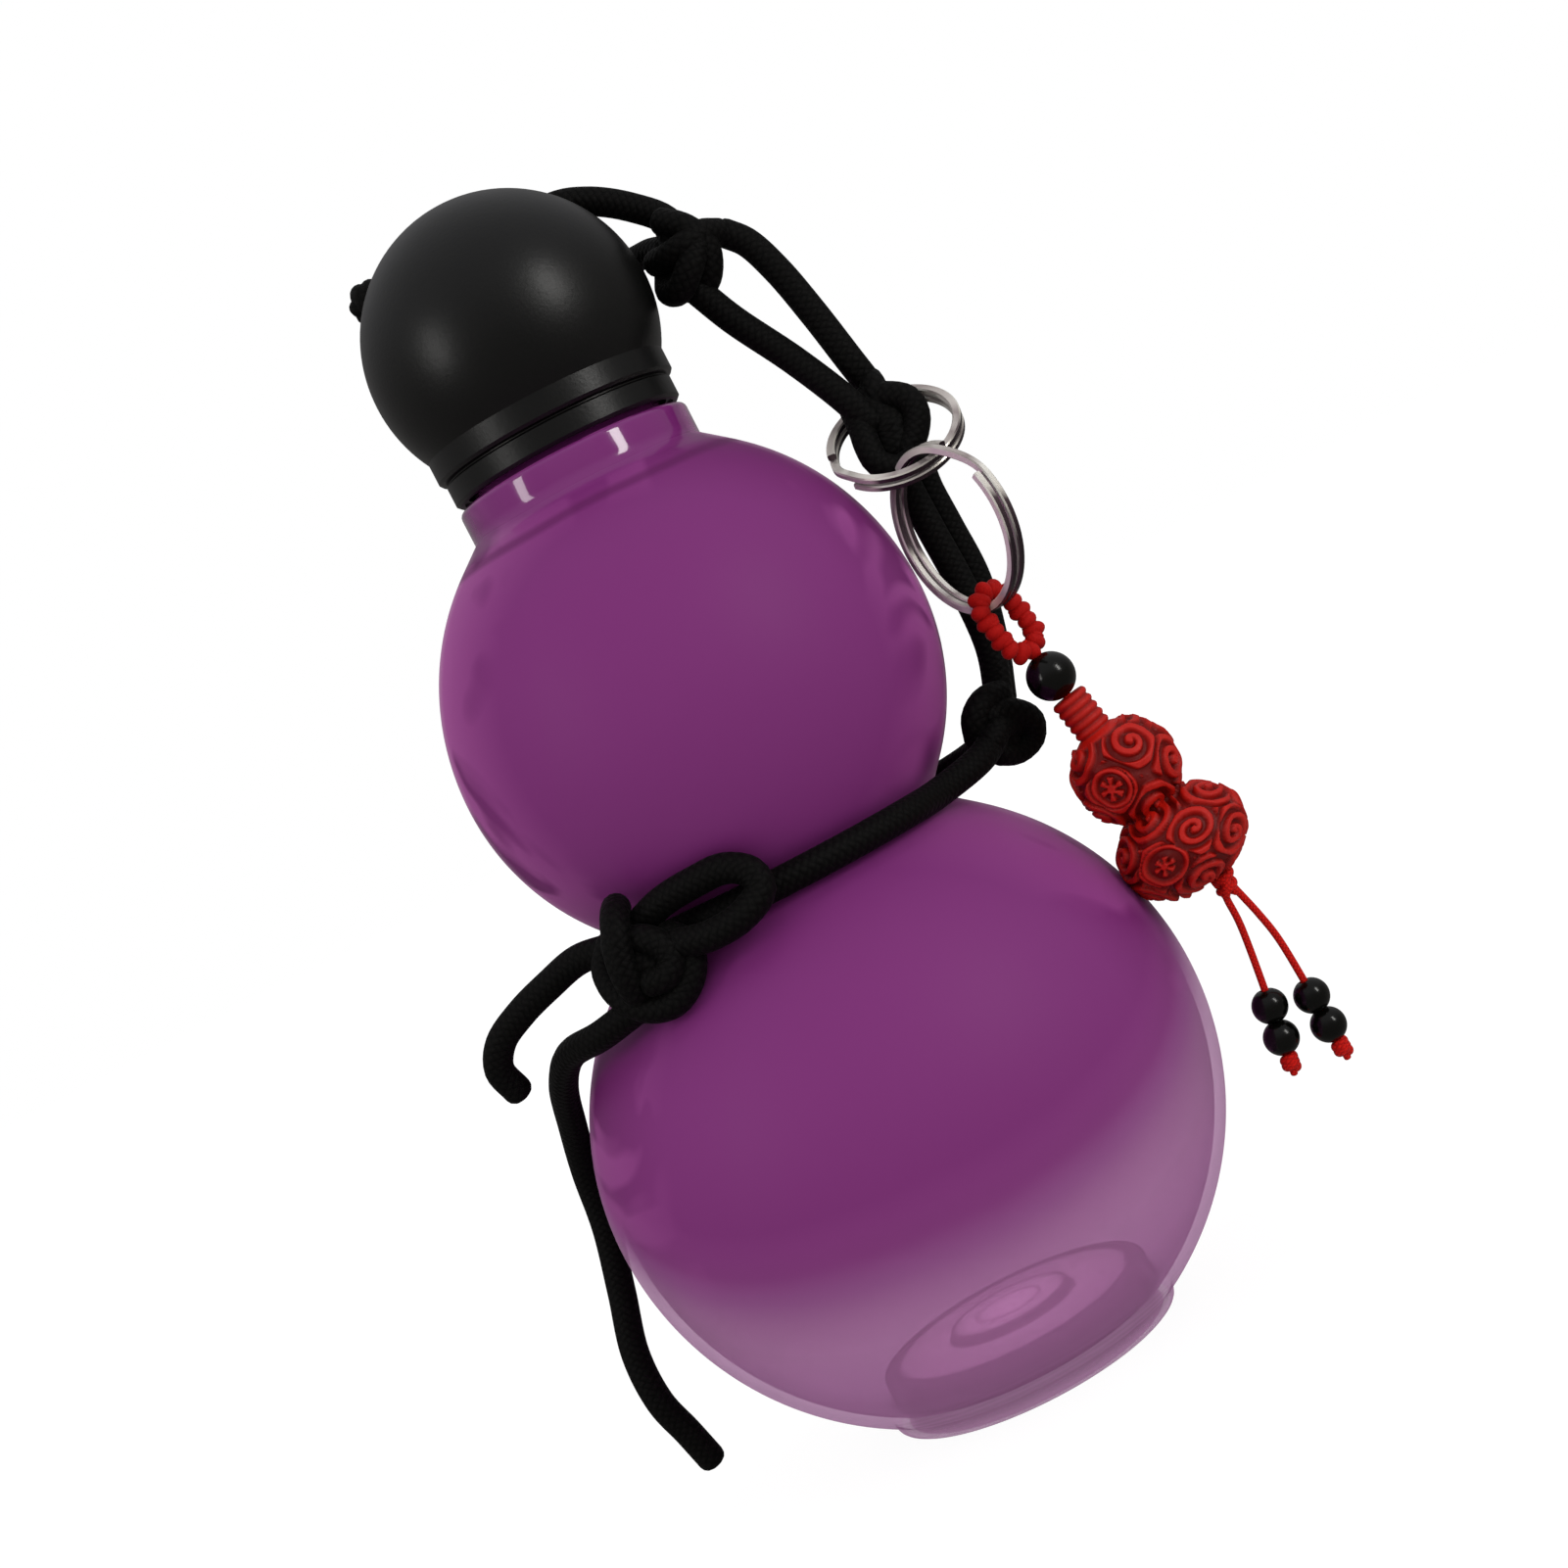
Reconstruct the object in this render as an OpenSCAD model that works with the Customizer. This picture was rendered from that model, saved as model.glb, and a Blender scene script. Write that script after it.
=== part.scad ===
// Gourd-shaped water bottle with a ball screw cap, a cord strap tied round its waist,
// two split rings and a carved gourd charm. It stands on its foot, with +Z up.

/* [Bottle] */
// Widest diameter of the lower globe
lower_globe_d = 102.8; // [101.6:0.2:103.2]
// Height of the lower globe's widest line
lower_globe_z = 46.9; // [46.5:0.1:47.3]
// Widest diameter of the upper globe
upper_globe_d = 81; // [80:0.2:81.4]
// Height of the upper globe's widest line
upper_globe_z = 120.9; // [120.5:0.1:121.3]
// Wall thickness of the globes
wall = 1.8; // [1.4:0.1:2.2]
// Diameter of the foot
foot_d = 50.6; // [49:0.2:52]
// Height of the foot band
foot_h = 2.2; // [1.6:0.1:2.6]
// Depth of the hollow under the base
hollow_h = 6.4; // [5:0.1:7]
// Diameter of the neck collar
neck_d = 40.4; // [40:0.1:40.8]
// Diameter of the mouth
mouth_d = 29.2; // [28:0.1:30]

/* [Screw cap] */
// Diameter of the ball
ball_d = 48; // [47:0.2:48.4]
// Height of the ball's centre
ball_z = 184.9; // [184.5:0.1:185.3]
// Outer diameter of the hem
hem_d = 40; // [39.6:0.1:40.2]
// Thickness of the ball's wall
ball_wall = 2.2; // [1.8:0.1:2.6]
// Climb of the thread in one turn
thread_pitch = 4; // [3.6:0.1:4]
// Turns of the thread on the neck
thread_turns = 2; // [1.5:0.25:2]
// Diameter of the cord tunnel through the crown
tunnel_d = 5.6; // [5.4:0.1:6]

/* [Strap] */
// Diameter of the braided cord
cord_d = 4.8; // [4.6:0.1:5]

/* [Split rings] */
// Outer diameter of the small ring
small_ring_d = 22.4; // [22:0.1:22.6]
// Outer diameter of the large ring
large_ring_d = 28.4; // [28:0.1:28.4]
// Radial thickness of the flat ring wire
ring_wire_t = 1.4; // [1.2:0.1:1.4]
// Width of the flat ring wire
ring_wire_w = 1.2; // [1:0.05:1.2]

/* [Charm] */
// Diameter of the big bead
big_bead_d = 7.9; // [7.6:0.1:8.2]
// Diameter of the small beads
small_bead_d = 5.8; // [5.4:0.1:5.9]
// Diameter of the gourd's upper lobe
lobe_top_d = 16.6; // [16:0.1:16.8]
// Diameter of the gourd's lower lobe
lobe_low_d = 21.4; // [21:0.1:22]
// Diameter of the braided loop's cord
loop_cord_d = 3; // [2.8:0.1:3.1]
// Diameter of the thin red strings
string_d = 1.2; // [1:0.1:1.3]

/* [Hidden] */
$fn = 96;

purple = [0.45, 0.16, 0.42];
black = [0.09, 0.09, 0.10];
white = [0.92, 0.92, 0.90];
chrome = [0.80, 0.80, 0.82];
red = [0.72, 0.10, 0.08];

// Bottle outline
lower_r = lower_globe_d / 2;
lower_top_h = lower_r - 1.9;
upper_r = upper_globe_d / 2;
upper_top_h = upper_r + 2;
neck_r = neck_d / 2;
foot_r = foot_d / 2;
mouth_r = mouth_d / 2;
blend = 9;
collar_low_z = 156;
collar_top_z = 163.9;
finish_r = mouth_r + 2;
lip_z = 179;
outline_step = 2.6;
floor_z = hollow_h + 2;
punt_r = 23.5;
hollow_r = punt_r - 2;
boss_r = 11.2;
boss_h = 1.6;
valley_z = 3.6;
foot_edge = 0.9;
inner_neck_low_z = 157;
inner_neck_top_z = 162.5;

// Thread, shared by the neck and the liner
thread_low_z = 166.6;
thread_h = 1;
thread_foot = 0.3;
thread_gap = 0.15;
thread_base_w = 1.5;
thread_crest_w = 0.7;
thread_steps = 30;

// Cap
ball_r = ball_d / 2;
hem_z = 164.8;
hem_r = hem_d / 2;
hem_top_z = 168.4;
rim_bead_r = hem_r + 0.9;
rim_bead_low_z = 169.1;
rim_bead_top_z = 172.6;
liner_r = 18.7;
liner_bore_r = finish_r + thread_h + thread_gap;
liner_low_z = 165.4;
liner_roof_z = 180.5;
liner_top_z = 182.1;
tunnel_y = 5;
tunnel_z = ball_z + 16.9;
tunnel_r = tunnel_d / 2;
tunnel_wall = 1.5;
knot_seat_r = 4;
knot_seat_x = -13.5;

// Gasket: a flat ring over the lip, with a plug that reaches into the mouth
seal_low_z = lip_z + 0.05;
seal_top_z = liner_roof_z - 0.05;
seal_r = 17.1;
plug_r = mouth_r - 0.3;
plug_bore_r = plug_r - 1.6;
plug_low_z = 176.4;

// Cord routes, each point chosen by hand
cord_sides = 10;
string_sides = 8;
cap_cord_route = [
    [-16.5, 5, 201.8], [-6, 5, 201.8], [6, 5, 201.8], [16.8, 5, 201.8],
    [20.8, 5, 200.4], [24.2, 4.9, 198.4], [27.6, 4.6, 195.6], [30.6, 4, 192.4], [32.2, 3, 188.8]
];
cap_knot_tail_route = [[29.2, 4.5, 186.4], [27, 9, 187.4], [24.2, 13.5, 188.4]];
outer_strand_route = [
    [38.4, 2, 185.1], [40.9, 2, 182.2], [43.2, 1.6, 176], [45.3, 1.5, 167],
    [47.1, 1.5, 157.5], [47.8, 2.2, 154.4]
];
inner_strand_route = [
    [30.4, 1.4, 178.4], [33.2, 1.4, 172.2], [38.8, 0.5, 162], [43, -1.4, 152.8], [45.2, -1.6, 147]
];
band_inner_route = [
    [46.2, 2.6, 141], [46.3, 3.3, 134], [46.5, 3.5, 127], [46.8, 3.5, 117], [46.1, 2.2, 106], [43.2, 0.2, 97.4]
];
band_outer_route = [
    [49.8, 5, 141], [49.6, 6.9, 134], [49.8, 7.4, 127], [49.9, 7.5, 117], [47.5, 6.9, 106], [44.4, 3.8, 98]
];
waist_z = 90.3;
waist_cord_r = 31.4;
waist_front_in = [[39.5, -4.6, 93.2], [35.6, -9.6, 91.6]];
waist_back_in = [[35.6, 9.6, 91.4], [39.6, 3.6, 93]];
bow_route = [
    [-24.2, -28.6, 93.6], [-18, -31.6, 95.8], [-12, -33.8, 96.4], [-7.2, -35, 96.2],
    [-4, -35.8, 94], [-3.8, -36.4, 91.2], [-7.6, -37, 89], [-13.6, -36.2, 88.4], [-19, -33.8, 89.4],
    [-24, -29.8, 89.8]
];
short_tail_route = [
    [-28, -24.6, 92.6], [-34, -21.5, 93.2], [-40, -19.5, 91.7], [-46, -18, 89.7],
    [-51, -17, 87], [-53.4, -15.5, 83.2], [-52.6, -14, 79]
];
long_tail_route = [
    [-26.8, -30.2, 83.6], [-35.6, -25, 81.6], [-42.2, -17, 80.4], [-46.6, -8, 75.8],
    [-49.8, 2.5, 68], [-52.2, 8.5, 59.5], [-53.7, 10, 49.5], [-56.2, 9, 39],
    [-58.6, 6.5, 29], [-58.4, 5, 20.5], [-56.6, 5, 14], [-55.2, 5, 8.5]
];

// Rings
small_ring_at = [47.3, -4.5, 143];
small_ring_tilt = 41;
small_ring_r = small_ring_d / 2;
small_mid_r = small_ring_r - ring_wire_t / 2;
large_ring_at = [48.6, -11.2, 125.6];
large_ring_turn = -61;
large_ring_r = large_ring_d / 2;
large_mid_r = large_ring_r - ring_wire_t / 2;
back_rim_at = small_ring_at + [0, small_mid_r * cos(small_ring_tilt), small_mid_r * sin(small_ring_tilt)];
turn_gap = 0.42;
turn_step = 10;
cross_over = 40;

// Charm, measured down from the large ring's lowest wire
charm_at = large_ring_at - [0, 0, large_mid_r + 0.5];
charm_lean = 11.6;
charm_turn = large_ring_turn + 90;
loop_in_r = 2;
loop_r = loop_in_r + loop_cord_d / 2;
loop_straight = 4.4;
bead_drop = 13.7;
core_d = 1.4;
core_bore_d = 1.6;
core_top = loop_straight + loop_in_r + loop_cord_d / 2;
neck_top_drop = bead_drop + big_bead_d / 2 + 0.1;
neck_rib_r = 3.1;
neck_rib_h = 1.4;
neck_ribs = 5;
top_lobe_drop = 32.6;
low_lobe_drop = 46.8;
low_lobe_h = 15.8;
gourd_foot_drop = 54.2;
lobe_blend = 8;
gourd_step = 1.1;
foot_knot_drop = 56;
foot_knot_r = 1.8;
foot_knot_at = charm_place([0, 0, -foot_knot_drop]) + [1.2, 0, 0];

// Strings, which hang plumb from the charm's foot knot
left_top = foot_knot_at + [-0.9, 0, -2.1];
left_run = [left_top, left_top + [0, 0, -5], left_top + [-2.8, 0, -28]];
right_top = foot_knot_at + [1.1, 0, -2.1];
right_run = [
    right_top, right_top + [1.4, 0, -5], right_top + [2.4, 0, -10], right_top + [3.5, 0, -29.6]
];
bead_flat = 2.62;
bead_bore_d = string_d + 0.4;
bead_pitch = 2 * bead_flat + 0.1;
end_knot_r = 1.3;

function unit(v) = v / norm(v);

// Position in the charm's own leaning axes, carried to the bottle's frame
function charm_place(p) = charm_at + [
    (p[0] * cos(charm_turn) - p[1] * sin(charm_turn)) * cos(charm_lean) - p[2] * sin(charm_lean),
    p[0] * sin(charm_turn) + p[1] * cos(charm_turn),
    (p[0] * cos(charm_turn) - p[1] * sin(charm_turn)) * sin(charm_lean) + p[2] * cos(charm_lean)
];

// Half-width of an ellipse of half-axes a and h at height t from its centre
function ellipse_r(a, h, t) = abs(t) < h ? a * sqrt(1 - (t / h) * (t / h)) : 0;

// Half-width of the lower globe at height z, drawn in by w
function lower_at(z, w) =
    ellipse_r(lower_r - w, (z < lower_globe_z ? lower_r : lower_top_h) - w, z - lower_globe_z);

// Half-width of the upper globe at height z, drawn in by w
function upper_at(z, w) =
    ellipse_r(upper_r - w, (z < upper_globe_z ? upper_r : upper_top_h) - w, z - upper_globe_z);

// Smooth union of the two globes
function globes_at(z, w) = pow(pow(lower_at(z, w), blend) + pow(upper_at(z, w), blend), 1 / blend);

// Smooth union of the globes and the neck
function body_at(z, w) =
    z < upper_globe_z ? globes_at(z, w)
    : pow(pow(globes_at(z, w), 2 * blend) + pow(neck_r - w, 2 * blend), 1 / (2 * blend));

// Direction of a route at point i
function heading(route, i) =
    i == 0 ? unit(route[1] - route[0])
    : i == len(route) - 1 ? unit(route[i] - route[i - 1])
    : unit(unit(route[i + 1] - route[i]) + unit(route[i] - route[i - 1]));

// Direction square to heading h that is nearest to s
function square_to(h, s) = unit(s - (s * h) * h);

// Side directions carried along a route without twist
function sides_along(route, found, i) =
    i == len(route) ? found
    : sides_along(route, concat(found, [square_to(heading(route, i), found[i - 1])]), i + 1);

// A direction that isn't along the route's first heading
function first_side(route) =
    square_to(heading(route, 0), abs(heading(route, 0)[2]) > 0.9 ? [1, 0, 0] : [0, 0, 1]);

module tube(route, d, sides) {
    n = len(route);
    side = sides_along(route, [first_side(route)], 1);
    corners = [
        for (i = [0 : n - 1], k = [0 : sides - 1])
            let (a = 360 * k / sides, up = cross(heading(route, i), side[i]))
                route[i] + d / 2 * (cos(a) * side[i] + sin(a) * up)
    ];
    start_cap = [for (k = [1 : sides - 2]) [0, k + 1, k]];
    end_cap = [for (k = [1 : sides - 2]) [(n - 1) * sides, (n - 1) * sides + k, (n - 1) * sides + k + 1]];
    walls = [
        for (i = [0 : n - 2], k = [0 : sides - 1], half = [0, 1])
            let (a = i * sides + k, b = i * sides + (k + 1) % sides)
                half == 0 ? [a, b, b + sides] : [a, b + sides, a + sides]
    ];
    faces = [for (f = concat(start_cap, walls, end_cap)) [f[0], f[2], f[1]]];
    polyhedron(points = corners, faces = faces);
}

// A closed cord ring round the local Z axis
module cord_ring(mid_r, d) {
    rotate_extrude()
        translate([mid_r, 0])
            circle(r = d / 2, $fn = 32);
}

// A lump of knotted cord: a core, and two turns of the cord that cross over it
module knot(r, turn_r, d, tilt) {
    sphere(r = r);
    rotate(tilt)
        cord_ring(turn_r, d);
    rotate(tilt + [80, 35, 0])
        cord_ring(turn_r, d);
}

// One screw ridge between radii in_r and out_r, whose root is on the side given
module thread_ridge(in_r, out_r, root_inside, low_z) {
    count = round(thread_turns * thread_steps);
    root = thread_base_w / 2;
    crest = thread_crest_w / 2;
    in_w = root_inside ? root : crest;
    out_w = root_inside ? crest : root;
    corners = [
        for (i = [0 : count])
            let (
                a = 360 * i / thread_steps,
                z = low_z + thread_pitch * i / thread_steps,
                taper = min(1, min(i, count - i) / 3 + 0.25)
            )
                for (c = [[in_r, -in_w], [out_r, -out_w], [out_r, out_w], [in_r, in_w]])
                    [c[0] * cos(a), c[0] * sin(a), z + c[1] * taper]
    ];
    walls = [
        for (i = [0 : count - 1], k = [0 : 3], half = [0, 1])
            let (a = 4 * i + k, b = 4 * i + (k + 1) % 4)
                half == 0 ? [a, b + 4, b] : [a, a + 4, b + 4]
    ];
    last = 4 * count;
    caps = [[0, 1, 2], [0, 2, 3], [last, last + 2, last + 1], [last, last + 3, last + 2]];
    faces = [for (f = concat(walls, caps)) [f[0], f[2], f[1]]];
    polyhedron(points = corners, faces = faces);
}

module bottle_outline() {
    outside = [for (z = [foot_h + 1 : outline_step : collar_low_z]) [body_at(z, 0), z]];
    inside = [for (z = [inner_neck_low_z : -outline_step : valley_z + 1]) [body_at(z, wall), z]];
    polygon(concat(
        [
            [0, hollow_h + boss_h], [boss_r - 2, hollow_h + boss_h], [boss_r - 1.6, hollow_h],
            [hollow_r - 1, hollow_h], [hollow_r, hollow_h - 1], [hollow_r + 0.6, foot_edge],
            [hollow_r + 0.6 + foot_edge, 0], [foot_r - foot_edge, 0],
            [foot_r, foot_edge], [foot_r, foot_h]
        ],
        outside,
        [
            [neck_r, collar_low_z + 3], [neck_r, collar_top_z - 1],
            [neck_r - 1, collar_top_z], [finish_r, collar_top_z],
            [finish_r, lip_z - 0.6], [finish_r - 0.6, lip_z],
            [mouth_r + 0.5, lip_z], [mouth_r, lip_z - 0.5],
            [mouth_r, inner_neck_top_z]
        ],
        inside,
        [
            [punt_r, valley_z], [punt_r, floor_z - 0.6], [punt_r - 0.6, floor_z],
            [boss_r, floor_z], [boss_r - 0.4, floor_z + boss_h], [0, floor_z + boss_h]
        ]
    ));
}

module bottle_body() {
    color(purple, 0.85) {
        rotate_extrude()
            bottle_outline();
        thread_ridge(finish_r - thread_foot, finish_r + thread_h, true, thread_low_z);
    }
}

module skirt_outline() {
    polygon([
        [liner_r, hem_z], [hem_r - 0.5, hem_z], [hem_r, hem_z + 0.5], [hem_r, hem_top_z],
        [hem_r - 0.4, hem_top_z + 0.3], [hem_r - 0.4, rim_bead_low_z - 0.2],
        [rim_bead_r - 0.4, rim_bead_low_z], [rim_bead_r, rim_bead_low_z + 0.5],
        [rim_bead_r, rim_bead_top_z], [rim_bead_r, liner_top_z], [liner_r, liner_top_z]
    ]);
}

module cap_shell() {
    color(black)
        difference() {
            union() {
                difference() {
                    union() {
                        translate([0, 0, ball_z])
                            sphere(r = ball_r);
                        rotate_extrude()
                            skirt_outline();
                    }
                    translate([0, 0, ball_z])
                        sphere(r = ball_r - ball_wall);
                    translate([0, 0, rim_bead_top_z - ball_d])
                        difference() {
                            cylinder(r = ball_d, h = ball_d);
                            cylinder(r = rim_bead_r, h = ball_d);
                        }
                    translate([0, 0, hem_z - ball_d])
                        cylinder(r = ball_d, h = ball_d);
                    translate([0, 0, hem_z - 1])
                        cylinder(r = liner_r, h = liner_top_z - hem_z + 1);
                }
                intersection() {
                    translate([-ball_r, tunnel_y, tunnel_z])
                        rotate([0, 90, 0])
                            cylinder(r = tunnel_r + tunnel_wall, h = ball_d);
                    translate([0, 0, ball_z])
                        sphere(r = ball_r - ball_wall / 2);
                }
                intersection() {
                    translate([-ball_r, tunnel_y, tunnel_z])
                        rotate([0, 90, 0])
                            cylinder(r = knot_seat_r + tunnel_wall, h = ball_r + knot_seat_x + 1);
                    translate([0, 0, ball_z])
                        sphere(r = ball_r - ball_wall / 2);
                }
            }
            translate([-ball_r - 1, tunnel_y, tunnel_z])
                rotate([0, 90, 0])
                    cylinder(r = tunnel_r, h = ball_d + 2);
            translate([-ball_r - 1, tunnel_y, tunnel_z])
                rotate([0, 90, 0])
                    cylinder(r = knot_seat_r, h = ball_r + 1 + knot_seat_x);
        }
}

module cap_liner() {
    color(black) {
        difference() {
            translate([0, 0, liner_low_z])
                cylinder(r = liner_r, h = liner_top_z - liner_low_z);
            translate([0, 0, liner_low_z - 1])
                cylinder(r = liner_bore_r, h = liner_roof_z - liner_low_z + 1);
        }
        thread_ridge(finish_r + thread_gap, liner_bore_r + thread_foot, false,
            thread_low_z + thread_pitch / 2);
    }
}

module seal_ring() {
    color(white)
        rotate_extrude()
            polygon([
                [plug_bore_r, plug_low_z], [plug_r - 0.4, plug_low_z], [plug_r, plug_low_z + 0.6],
                [plug_r, seal_low_z], [seal_r, seal_low_z], [seal_r, seal_top_z],
                [plug_bore_r, seal_top_z]
            ]);
}

module stopper_knot() {
    color(black)
        translate([-17.4, tunnel_y, tunnel_z])
            rotate([0, 90, 0]) {
                sphere(r = 3.1);
                cord_ring(2, 3);
            }
}

module cap_cord() {
    color(black)
        tube(cap_cord_route, cord_d, cord_sides);
}

module cap_knot() {
    color(black) {
        translate([31.4, 2, 185.4])
            knot(4.6, 3, cord_d - 0.2, [90, 20, 0]);
        translate([27.8, 2, 180.8])
            sphere(r = 2.9);
    }
}

module cap_knot_tail() {
    color(black)
        tube(cap_knot_tail_route, cord_d - 0.2, cord_sides);
}

module outer_strand() {
    color(black)
        tube(outer_strand_route, cord_d, cord_sides);
}

module inner_strand() {
    color(black)
        tube(inner_strand_route, cord_d, cord_sides);
}

// The knot fills the middle of the small ring, and a turn of it holds the ring's back rim
module ring_knot() {
    color(black) {
        translate([48, 1.5, 142.7])
            knot(4.9, 3, cord_d - 0.2, [90, 0, 30]);
        translate(back_rim_at)
            rotate([0, 90, 0])
                cord_ring(4.1, 4.2);
    }
}

module band_cord_inner() {
    color(black)
        tube(band_inner_route, cord_d, cord_sides);
}

module band_cord_outer() {
    color(black)
        tube(band_outer_route, cord_d, cord_sides);
}

module side_knot() {
    color(black) {
        translate([40.8, -0.5, 94])
            knot(4.9, 3, cord_d - 0.2, [90, 20, 0]);
        translate([37.8, -5.6, 97.8])
            sphere(r = 2.7);
        translate([45.6, -1.5, 91.8])
            sphere(r = 3.2);
    }
}

// Route round the waist from angle a to angle b, in steps near 20 degrees
function waist_arc(a, b) = [
    for (i = [0 : round(abs(b - a) / 20)])
        let (t = a + (b - a) * i / round(abs(b - a) / 20))
            [waist_cord_r * cos(t), waist_cord_r * sin(t), waist_z]
];

module waist_cord_front() {
    color(black)
        tube(concat(waist_front_in, waist_arc(-30, -130)), cord_d, cord_sides);
}

module waist_cord_back() {
    color(black)
        tube(concat(waist_arc(-138, -330), waist_back_in), cord_d, cord_sides);
}

module tie_knot() {
    color(black) {
        translate([-25.6, -26.6, 90])
            knot(4.8, 3, cord_d - 0.2, [0, 60, 45]);
        translate([-25.2, -28.6, 97])
            sphere(r = 2.8);
        translate([-23.4, -33.4, 87.4])
            rotate([86, 0, 0])
                cord_ring(5.6, 4.4);
        translate([-31.2, -23.2, 88])
            sphere(r = 3.4);
    }
}

module bow_loop() {
    color(black)
        tube(bow_route, cord_d, cord_sides);
}

module short_tail() {
    color(black)
        tube(short_tail_route, cord_d, cord_sides);
}

module long_tail() {
    color(black)
        tube(long_tail_route, cord_d, cord_sides);
}

// Where the ring's wire lies along its axis at turning angle a: on one side for the
// first turn, on the other for the second, with the step between them
function wire_side(a) =
    let (t = min(1, max(0, (a - 360 + cross_over) / cross_over)))
        (t * t * (3 - 2 * t) - 0.5) * (ring_wire_w + turn_gap);

// Turning angles of the rings of corners on the wire, from one end to the other
wire_angles = [for (a = [0 : turn_step : 720 - cross_over]) a];

function wire_line(r) = [for (a = wire_angles) [r * cos(a), r * sin(a), wire_side(a)]];

// Least gap between the wire's two turns, measured between points a turn apart
function least_gap(line) =
    min([
        for (i = [0 : len(line) - 1], j = [0 : len(line) - 1])
            if (wire_angles[j] - wire_angles[i] > 180) norm(line[i] - line[j]) - ring_wire_w
    ]);

// A flat wire wound in two turns side by side, as one unbroken coil of outer radius r
module split_ring(r) {
    n = len(wire_angles);
    corners = [
        for (a = wire_angles)
            for (c = [[r - ring_wire_t, -1], [r, -1], [r, 1], [r - ring_wire_t, 1]])
                [c[0] * cos(a), c[0] * sin(a), wire_side(a) + c[1] * ring_wire_w / 2]
    ];
    walls = [
        for (i = [0 : n - 2], k = [0 : 3], half = [0, 1])
            let (a = 4 * i + k, b = 4 * i + (k + 1) % 4)
                half == 0 ? [a, b, b + 4] : [a, b + 4, a + 4]
    ];
    last = 4 * (n - 1);
    caps = [[0, 2, 1], [0, 3, 2], [last, last + 1, last + 2], [last, last + 2, last + 3]];
    polyhedron(points = corners, faces = concat(walls, caps));
}

module small_split_ring() {
    color(chrome)
        translate(small_ring_at)
            rotate([small_ring_tilt, 0, 0])
                split_ring(small_ring_r);
}

module large_split_ring() {
    color(chrome)
        translate(large_ring_at)
            rotate([90, 0, large_ring_turn])
                split_ring(large_ring_r);
}

// Carries its children from the charm's own axes to where it leans on the bottle
module on_charm() {
    translate(charm_at)
        rotate([0, -charm_lean, 0])
            rotate([0, 0, charm_turn])
                children();
}

module charm_loop() {
    color(red)
        on_charm()
            rotate([90, 0, 0]) {
                rotate_extrude(angle = 180)
                    translate([loop_r, 0])
                        circle(r = loop_cord_d / 2, $fn = 32);
                translate([0, -loop_straight, 0])
                    rotate([0, 0, 180])
                        rotate_extrude(angle = 180)
                            translate([loop_r, 0])
                                circle(r = loop_cord_d / 2, $fn = 32);
                for (side = [-1, 1])
                    translate([side * loop_r, 0, 0])
                        rotate([90, 0, 0])
                            cylinder(r = loop_cord_d / 2, h = loop_straight, $fn = 32);
            }
}

module charm_core_cord() {
    color(red)
        on_charm()
            translate([0, 0, -foot_knot_drop])
                cylinder(r = core_d / 2, h = foot_knot_drop - core_top, $fn = 32);
}

module charm_big_bead() {
    color(black)
        on_charm()
            translate([0, 0, -bead_drop])
                difference() {
                    sphere(r = big_bead_d / 2);
                    cylinder(r = core_bore_d / 2, h = big_bead_d + 1, center = true, $fn = 32);
                }
}

// Half-width of the carved gourd at a drop below the loop
function gourd_at(drop) =
    pow(
        pow(ellipse_r(lobe_top_d / 2, lobe_top_d / 2, drop - top_lobe_drop), lobe_blend)
        + pow(ellipse_r(lobe_low_d / 2, low_lobe_h / 2, drop - low_lobe_drop), lobe_blend)
        + pow(drop < top_lobe_drop ? neck_rib_r - 0.3 : 0, lobe_blend),
        1 / lobe_blend
    );

module charm_gourd() {
    neck_foot_drop = neck_top_drop + neck_ribs * neck_rib_h;
    ribs = [
        for (i = [0 : neck_ribs - 1], step = [0.2, 0.8])
            [neck_rib_r, -(neck_top_drop + (i + step) * neck_rib_h)]
    ];
    grooves = [
        for (i = [1 : neck_ribs - 1])
            [neck_rib_r - 0.4, -(neck_top_drop + i * neck_rib_h)]
    ];
    neck_side = [
        for (i = [0 : neck_ribs - 1])
            for (p = i < neck_ribs - 1 ? [ribs[2 * i], ribs[2 * i + 1], grooves[i]] : [ribs[2 * i], ribs[2 * i + 1]])
                p
    ];
    lobes = [
        for (d = [neck_foot_drop + 0.2 : gourd_step : gourd_foot_drop])
            [max(gourd_at(d), neck_rib_r), -d]
    ];
    color(red)
        on_charm()
            rotate_extrude()
                polygon(concat(
                    [[core_bore_d / 2, -neck_top_drop], [neck_rib_r - 0.4, -neck_top_drop]],
                    neck_side,
                    lobes,
                    [[core_bore_d / 2, -gourd_foot_drop]]
                ));
}

module charm_foot_knot() {
    color(red)
        translate(foot_knot_at)
            sphere(r = foot_knot_r, $fn = 32);
}

module left_string() {
    color(red)
        tube(left_run, string_d, string_sides);
}

module right_string() {
    color(red)
        tube(right_run, string_d, string_sides);
}

// A small bead with flat ends and a bore, on the last straight run of a string
module bead_on(run, up) {
    low = run[len(run) - 1];
    way = unit(run[len(run) - 2] - low);
    translate(low + up * way)
        rotate([0, atan2(way[0], way[2]), 0])
            difference() {
                intersection() {
                    sphere(r = small_bead_d / 2);
                    cube([small_bead_d + 1, small_bead_d + 1, 2 * bead_flat], center = true);
                }
                cylinder(r = bead_bore_d / 2, h = small_bead_d + 1, center = true, $fn = 32);
            }
}

module end_knot(run) {
    color(red)
        translate(run[len(run) - 1])
            sphere(r = end_knot_r, $fn = 32);
}

module left_end_knot() {
    end_knot(left_run);
}

module right_end_knot() {
    end_knot(right_run);
}

module left_lower_bead() {
    color(black)
        bead_on(left_run, end_knot_r + bead_flat + 0.1);
}

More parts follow.
